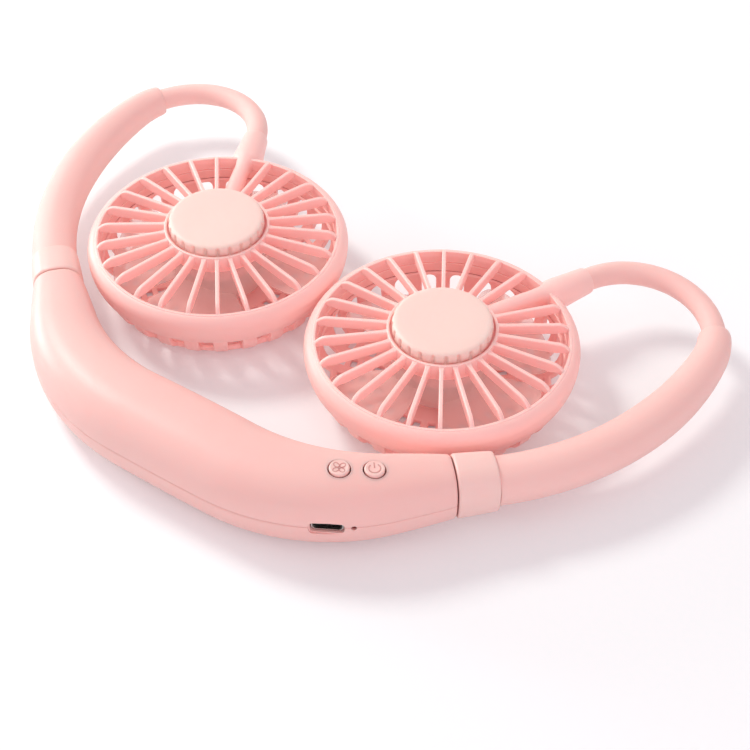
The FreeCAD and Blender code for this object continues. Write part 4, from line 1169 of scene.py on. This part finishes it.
class NECKFAN_OT_grilles(bpy.types.Operator):
    """Makes the front grilles: ring, vanes, hub, wire channel and socket"""
    bl_idname = "neckfan.grilles"
    bl_label = "Front grilles"

    def execute(self, context):
        h = sizes(context.scene.neck_fan_head)
        lip = h.lip_top
        bore = h.ring_inner
        bottom = h.ring_bottom
        outline = [(bore + 0.3, lip - 0.12), (bore + 0.38, lip - 0.03), (bore + 0.5, lip), (bore + 0.8, lip),
                   (bore + 0.92, lip - 0.03), (bore + 1.0, lip - 0.14), (bore + 1.1, lip - 0.3)]
        outline += arc3((h.lip_radius + 0.05, lip - 0.32), (h.radius - 0.5, lip - 1.62),
                        (h.radius, h.bulge), 12)
        outline += arc3((h.radius, h.bulge), (h.radius - 0.27, (h.bulge + bottom) / 2),
                        (h.radius - 1.1, bottom + 0.3), 10)[1:]
        outline += [(h.radius - 1.2, bottom + 0.1), (h.radius - 1.4, bottom), (h.guard_radius + 0.05, bottom),
                    (h.guard_radius + 0.05, bottom + 2.0), (bore + 0.15, bottom + 2.0), (bore, bottom + 2.15),
                    (bore, lip - 3.7), (bore + 0.3, lip - 3.6), (bore + 0.3, lip - 3.3), (bore, lip - 3.2),
                    (bore, lip - 1.6), (bore + 0.12, lip - 1.0), (bore + 0.3, lip - 0.4)]
        top = h.hub_top
        outer = h.hub_radius
        inner = outer - 0.7
        hub = [(outer, 15.8), (outer, top - 0.2), (outer - 0.06, top - 0.06), (outer - 0.2, top),
               (inner + 0.2, top), (inner + 0.06, top - 0.06), (inner, top - 0.2), (inner, 18.6),
               (10.6, 18.6), (10.6, 21.0), (9.7, 21.0), (9.7, 18.6), (0.0, 18.6), (0.0, 17.6),
               (10.05, 17.6), (10.05, 10.0), (11.15, 10.0), (11.15, 17.4), (11.4, 17.6), (12.7, 17.6),
               (12.9, 17.4), (12.9, 15.8), (13.1, 15.6), (13.7, 15.6)]
        solid = as_mesh("grille", join(lathe(outline, 160), lathe(hub, 112), channel_form(h)))
        vanes = repeat_round(as_mesh("vane", vane_form(h)), h.vanes, 1, "thin_abs")
        whole = combine("grille", [solid, vanes])
        on_heads(whole, h, "_vane_grille", "thin_abs", "_front_grille", "_head", 34)
        return {"FINISHED"}


def guard_profile(h):
    """Rows of radius, height and distance along the guard's outer skin, from the middle to the rim."""
    flat = h.guard_radius - h.guard_corner
    wall_start = flat + h.guard_corner * math.pi / 2
    slot_end = wall_start + h.slot_top - h.guard_corner
    dome = h.slot_outer / 2
    runs = [0.0, 5.0, 10.0, h.guard_hub]
    runs += [hoop + side for hoop in HOOPS for side in (-HOOP_HALF, HOOP_HALF)]
    runs += [slot_end - dome * share for share in (1.0, 0.6, 0.3, 0.12, 0.03, 0.0)]
    runs.append(wall_start + h.rim_top - h.guard_corner)
    for extra in between(flat, wall_start, 10)[:-1]:
        if min(abs(extra - run) for run in runs) > 0.4:
            runs.append(extra)
    rows = []
    for run in sorted(runs):
        if run < flat:
            rows.append((run, 0.0, run))
        elif run < wall_start:
            turn = (run - flat) / h.guard_corner
            rows.append((flat + h.guard_corner * math.sin(turn), h.guard_corner * (1 - math.cos(turn)), run))
        else:
            rows.append((h.guard_radius, h.guard_corner + run - wall_start, run))
    return rows


def guard_sector(h):
    """One slot's share of the guard's skin, with the slot left open between the hoops."""
    line = guard_profile(h)
    half_step = math.pi / h.slots
    dome = h.slot_outer / 2
    rows = []
    for r, z, run in line:
        reach = max(r - h.guard_hub, 0.0) / (h.guard_radius + 1.0 - h.guard_hub)
        width = h.slot_inner + (h.slot_outer - h.slot_inner) * reach
        rise = (z - h.slot_top + dome) / dome
        if rise > 0:
            width *= max(math.sqrt(max(1 - rise * rise, 0.0)), 0.12)
        edge = width / 2 / max(r, h.guard_hub)
        turns = [-edge + share * (half_step - edge) for share in (-1.0, -0.5, 0.0)]
        turns += [-turn for turn in reversed(turns)]
        rows.append([Vector((r * math.cos(turn), r * math.sin(turn), z)) for turn in turns])
    points, faces = grid(rows)
    wide = len(rows[0])
    kept = []
    for face in faces:
        row, column = divmod(face[0], wide)
        run = (line[row][2] + line[row + 1][2]) / 2
        height = (line[row][1] + line[row + 1][1]) / 2
        on_hoop = any(abs(run - hoop) < HOOP_HALF for hoop in HOOPS)
        slotted = column == 2 and run > h.guard_hub and height < h.slot_top and not on_hoop
        if not slotted:
            kept.append(face)
    sector = as_mesh("sector", (points, kept), closed=False)
    sector.transform(Matrix.Rotation(math.pi / 2 + half_step, 4, "Z"))
    return sector


class NECKFAN_OT_guards(bpy.types.Operator):
    """Makes the slotted rear guards"""
    bl_idname = "neckfan.guards"
    bl_label = "Rear guards"

    def execute(self, context):
        h = sizes(context.scene.neck_fan_head)
        sheet = weld(repeat_round(guard_sector(h), h.slots, 0, "thin_abs"), 0.01)
        lowest = min(sheet.polygons, key=lambda face: face.center.z)
        if lowest.normal.z > 0:
            sheet.flip_normals()
        made = as_object("guard", sheet)
        wall = made.modifiers.new("wall", "SOLIDIFY")
        wall.thickness = h.guard_wall * MM
        wall.offset = -1
        wall.use_even_offset = True
        soft = made.modifiers.new("soft", "BEVEL")
        soft.width = h.guard_edge * MM
        soft.segments = 3
        soft.limit_method = "ANGLE"
        soft.angle_limit = math.radians(50)
        whole = settle(made)
        on_heads(whole, h, "_slotted_guard", "thin_abs", "_rear_guard", "_head", 40)
        return {"FINISHED"}


def blade_form(h):
    """One wide blade along X: pitched and bowed, with round outer corners and thin edges."""
    steps = 20
    across = 24
    root = h.impeller_radius - 0.55
    slope = math.tan(h.blade_pitch)
    rows = []
    for i, radius in enumerate(between(root, h.blade_tip, steps)):
        corner = max(0.0, (radius - (h.blade_tip - h.blade_corner)) / h.blade_corner)
        trim = (1 - math.sqrt(max(1 - corner * corner, 0.0))) * h.blade_corner / h.blade_tip
        thin = 0.65 - 0.3 * i / steps
        upper = []
        lower = []
        for j, share in enumerate(between(-1.0, 1.0, across)):
            turn = (h.blade_half - trim) * share
            y = radius * math.sin(turn)
            bow = 0.5 * (1 - share ** 2) - 0.25
            point = Vector((radius * math.cos(turn), y, h.blade_height + slope * y + bow))
            half = UP * (thin * (0.25 if j in (0, across) else 1.0))
            upper.append(point + half)
            lower.append(point - half)
        rows.append(upper + lower[::-1])
    return quad_capped(rows)


class NECKFAN_OT_impellers(bpy.types.Operator):
    """Makes the smoky clear impellers"""
    bl_idname = "neckfan.impellers"
    bl_label = "Impellers"

    def execute(self, context):
        h = sizes(context.scene.neck_fan_head)
        r = h.impeller_radius
        outline = [(0.0, 3.4), (8.0, 3.4), (r - 1.6, 3.4), (r - 0.7, 3.65), (r - 0.2, 4.2), (r, 5.0),
                   (r, 14.7), (r - 0.2, 15.0), (r - 0.9, 15.0), (r - 1.1, 14.7), (r - 1.1, 5.4),
                   (r - 1.6, 4.8), (2.6, 4.8), (2.6, 6.4), (1.0, 6.4), (1.0, 3.8), (0.0, 3.8)]
        hub = as_mesh("hub", lathe(outline, 96, ring=False))
        blades = repeat_round(as_mesh("blade", blade_form(h)), h.blades, 0, "blade_san")
        whole = combine("impeller", [hub, blades])
        on_heads(whole, h, "_blade_wheel", "blade_san", "_impeller", "_impeller")
        return {"FINISHED"}


class NECKFAN_OT_caps(bpy.types.Operator):
    """Makes the fluted scent caps"""
    bl_idname = "neckfan.caps"
    bl_label = "Scent caps"

    def execute(self, context):
        h = sizes(context.scene.neck_fan_head)
        top = h.cap_top
        r = h.cap_radius
        levels = [(0.0, top, 0.0), (4.0, top, 0.0), (8.0, top, 0.0), (r - 1.6, top, 0.0),
                  (r - 1.0, top - 0.06, 0.0), (r - 0.55, top - 0.2, 0.0), (r - 0.25, top - 0.45, 0.15),
                  (r - 0.07, top - 0.8, 0.55), (r, top - 1.2, 0.9), (r, top - 1.5, 1.0), (r, 20.0, 1.0),
                  (r - 0.15, 19.7, 0.6), (r - 0.2, 19.5, 0.0), (r - 0.2, 19.2, 0.0), (r - 1.2, 19.2, 0.0),
                  (r - 1.2, 21.1, 0.0), (r - 1.4, 21.3, 0.0), (0.0, 21.3, 0.0)]
        rows = []
        for radius, z, depth in levels:
            row = []
            for share in between(-0.5, 0.5, 24):
                turn = 2 * math.pi / h.flutes * share
                across = abs(share) * 2 * math.pi * r / h.flutes
                notch = 0.0
                if across < h.flute_half:
                    notch = h.flute_depth * (0.5 + 0.5 * math.cos(math.pi * across / h.flute_half))
                reach = max(radius - depth * notch, 0.0)
                row.append(Vector((reach * math.cos(turn), reach * math.sin(turn), z)))
            rows.append(row)
        sector = as_mesh("flute", grid(rows), closed=False)
        whole = weld(repeat_round(sector, h.flutes, 0, "cap_abs"), 0.01)
        on_heads(whole, h, "_scent_cap", "cap_abs", "_aroma_cap", "_cap")
        return {"FINISHED"}


INNER_FINISHES = {
    "battery_pouch": "pouch_foil", "battery_lead": "pvc_lead", "control_board": "board_mask",
    "speed_switch": "black_nylon", "power_switch": "black_nylon", "shell_screw": "drawn_steel",
    "tube_ferrule": "drawn_steel", "motor_shaft": "drawn_steel", "motor": "drawn_steel",
    "aroma_pad": "scent_felt",
}


class NECKFAN_OT_inner_parts(bpy.types.Operator):
    """Gives the inner parts that keep their own solids their finishes"""
    bl_idname = "neckfan.inner_parts"
    bl_label = "Inner parts"

    def execute(self, context):
        for name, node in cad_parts.items():
            plain = name.removeprefix("left_").removeprefix("right_")
            if plain in INNER_FINISHES:
                node.data.materials.clear()
                node.data.materials.append(finish(INNER_FINISHES[plain]))
        return {"FINISHED"}


# Lamps as name, place in metres, width in metres, power in watts and colour.
LAMPS = (
    ("key", (-0.8, 0.2, 0.8), 0.3, 5.7, (1.0, 1.0, 0.94)),
    ("rim", (-1.0, 0.0, 0.16), 0.4, 4.4, (1.0, 1.0, 0.98)),
    ("fill", (0.75, -0.55, 0.5), 0.8, 2.1, (1.0, 0.8, 0.9)),
)
LAMP_AIM = Vector((0.0, 0.05, 0.0))


def paper_sweep():
    """Matt white paper with a faint fibre tone; what the camera sees of it is lifted a little to white."""
    material, tree, shader, place = new_material("paper_sweep")
    fibre = add(tree, "ShaderNodeTexNoise", {"Vector": place, "Scale": 1 / (1.5 * MM), "Detail": 3.0})
    tone = add(tree, "ShaderNodeMix", {"Factor": fibre, "A": linear("EBF2F4"), "B": linear("F1F8FA")},
               data_type="RGBA")
    path = add(tree, "ShaderNodeLightPath").outputs
    seen = add(tree, "ShaderNodeMath", {0: path["Is Camera Ray"], 1: path["Is Transmission Ray"]},
               operation="MAXIMUM")
    lift = add(tree, "ShaderNodeMath", {0: seen, 1: 0.13}, operation="MULTIPLY")
    feed(tree, shader, {"Base Color": tone, "Roughness": 0.9, "Emission Strength": lift,
                        "Emission Color": (1.0, 0.96, 0.98)})
    return material


class NECKFAN_OT_stage(bpy.types.Operator):
    """Makes the floor, the light and the camera"""
    bl_idname = "neckfan.stage"
    bl_label = "Stage"

    def execute(self, context):
        scene = context.scene
        k = scene.neck_fan_stage
        scene.view_settings.view_transform = "Standard"
        world = bpy.data.worlds.new("soft_room")
        scene.world = world
        world.use_nodes = True
        tree = world.node_tree
        tree.nodes.clear()
        sky = add(tree, "ShaderNodeBackground", {"Color": (1.0, 0.88, 0.9), "Strength": 0.66})
        add(tree, "ShaderNodeOutputWorld", {"Surface": sky})

        half = 2.5
        mesh = bpy.data.meshes.new("floor")
        mesh.from_pydata([(*corner, 0) for corner in box(half, -half, half)], [], [(0, 1, 2, 3)])
        mesh.materials.append(paper_sweep())
        floor = as_object("floor", mesh)
        floor.location.z = -0.4 * MM

        for name, place, width, power, colour in LAMPS:
            data = bpy.data.lights.new(name, "AREA")
            data.shape = "DISK"
            data.size = width
            data.energy = power
            data.color = colour
            lamp = as_object(name, data)
            lamp.location = place
            lamp.rotation_euler = (LAMP_AIM - Vector(place)).to_track_quat("-Z", "Y").to_euler()

        data = bpy.data.cameras.new("photo_view")
        data.lens = k.lens
        data.sensor_width = 36.0
        data.clip_start = 0.01
        data.clip_end = 20.0
        camera = as_object("photo_view", data)
        level = math.cos(k.elevation)
        back = Vector((level * math.sin(k.azimuth), -level * math.cos(k.azimuth), math.sin(k.elevation)))
        camera.location = Vector(k.target) + back * k.distance
        camera.rotation_euler = (-back).to_track_quat("-Z", "Y").to_euler()
        scene.camera = camera
        return {"FINISHED"}


OPERATORS = (
    NECKFAN_OT_neckband, NECKFAN_OT_collars, NECKFAN_OT_controls, NECKFAN_OT_arms, NECKFAN_OT_grilles,
    NECKFAN_OT_guards, NECKFAN_OT_impellers, NECKFAN_OT_caps, NECKFAN_OT_inner_parts, NECKFAN_OT_stage,
)
GROUPS = (
    ("neck_fan_neckband", NeckbandSizes), ("neck_fan_arm", ArmSizes), ("neck_fan_head", HeadSizes),
    ("neck_fan_finishes", Finishes), ("neck_fan_stage", StageSizes),
)


class NECKFAN_PT_panel(bpy.types.Panel):
    """Lists the neck fan's operators and sizes"""
    bl_idname = "NECKFAN_PT_panel"
    bl_label = "Neck Fan"
    bl_space_type = "VIEW_3D"
    bl_region_type = "UI"
    bl_category = "Neck Fan"

    def draw(self, context):
        column = self.layout.column(align=True)
        for operator in OPERATORS:
            column.operator(operator.bl_idname)
        for name, group in GROUPS:
            values = getattr(context.scene, name)
            rows = self.layout.box()
            for prop in group.__annotations__:
                rows.prop(values, prop)


def register():
    for name, group in GROUPS:
        bpy.utils.register_class(group)
        setattr(bpy.types.Scene, name, PointerProperty(type=group))
    for operator in OPERATORS:
        bpy.utils.register_class(operator)
    bpy.utils.register_class(NECKFAN_PT_panel)


def unregister():
    bpy.utils.unregister_class(NECKFAN_PT_panel)
    for operator in reversed(OPERATORS):
        bpy.utils.unregister_class(operator)
    for name, group in reversed(GROUPS):
        delattr(bpy.types.Scene, name)
        bpy.utils.unregister_class(group)


def main():
    register()
    for operator in OPERATORS:
        family, action = operator.bl_idname.split(".")
        getattr(getattr(bpy.ops, family), action)()


if __name__ == "__main__":
    main()
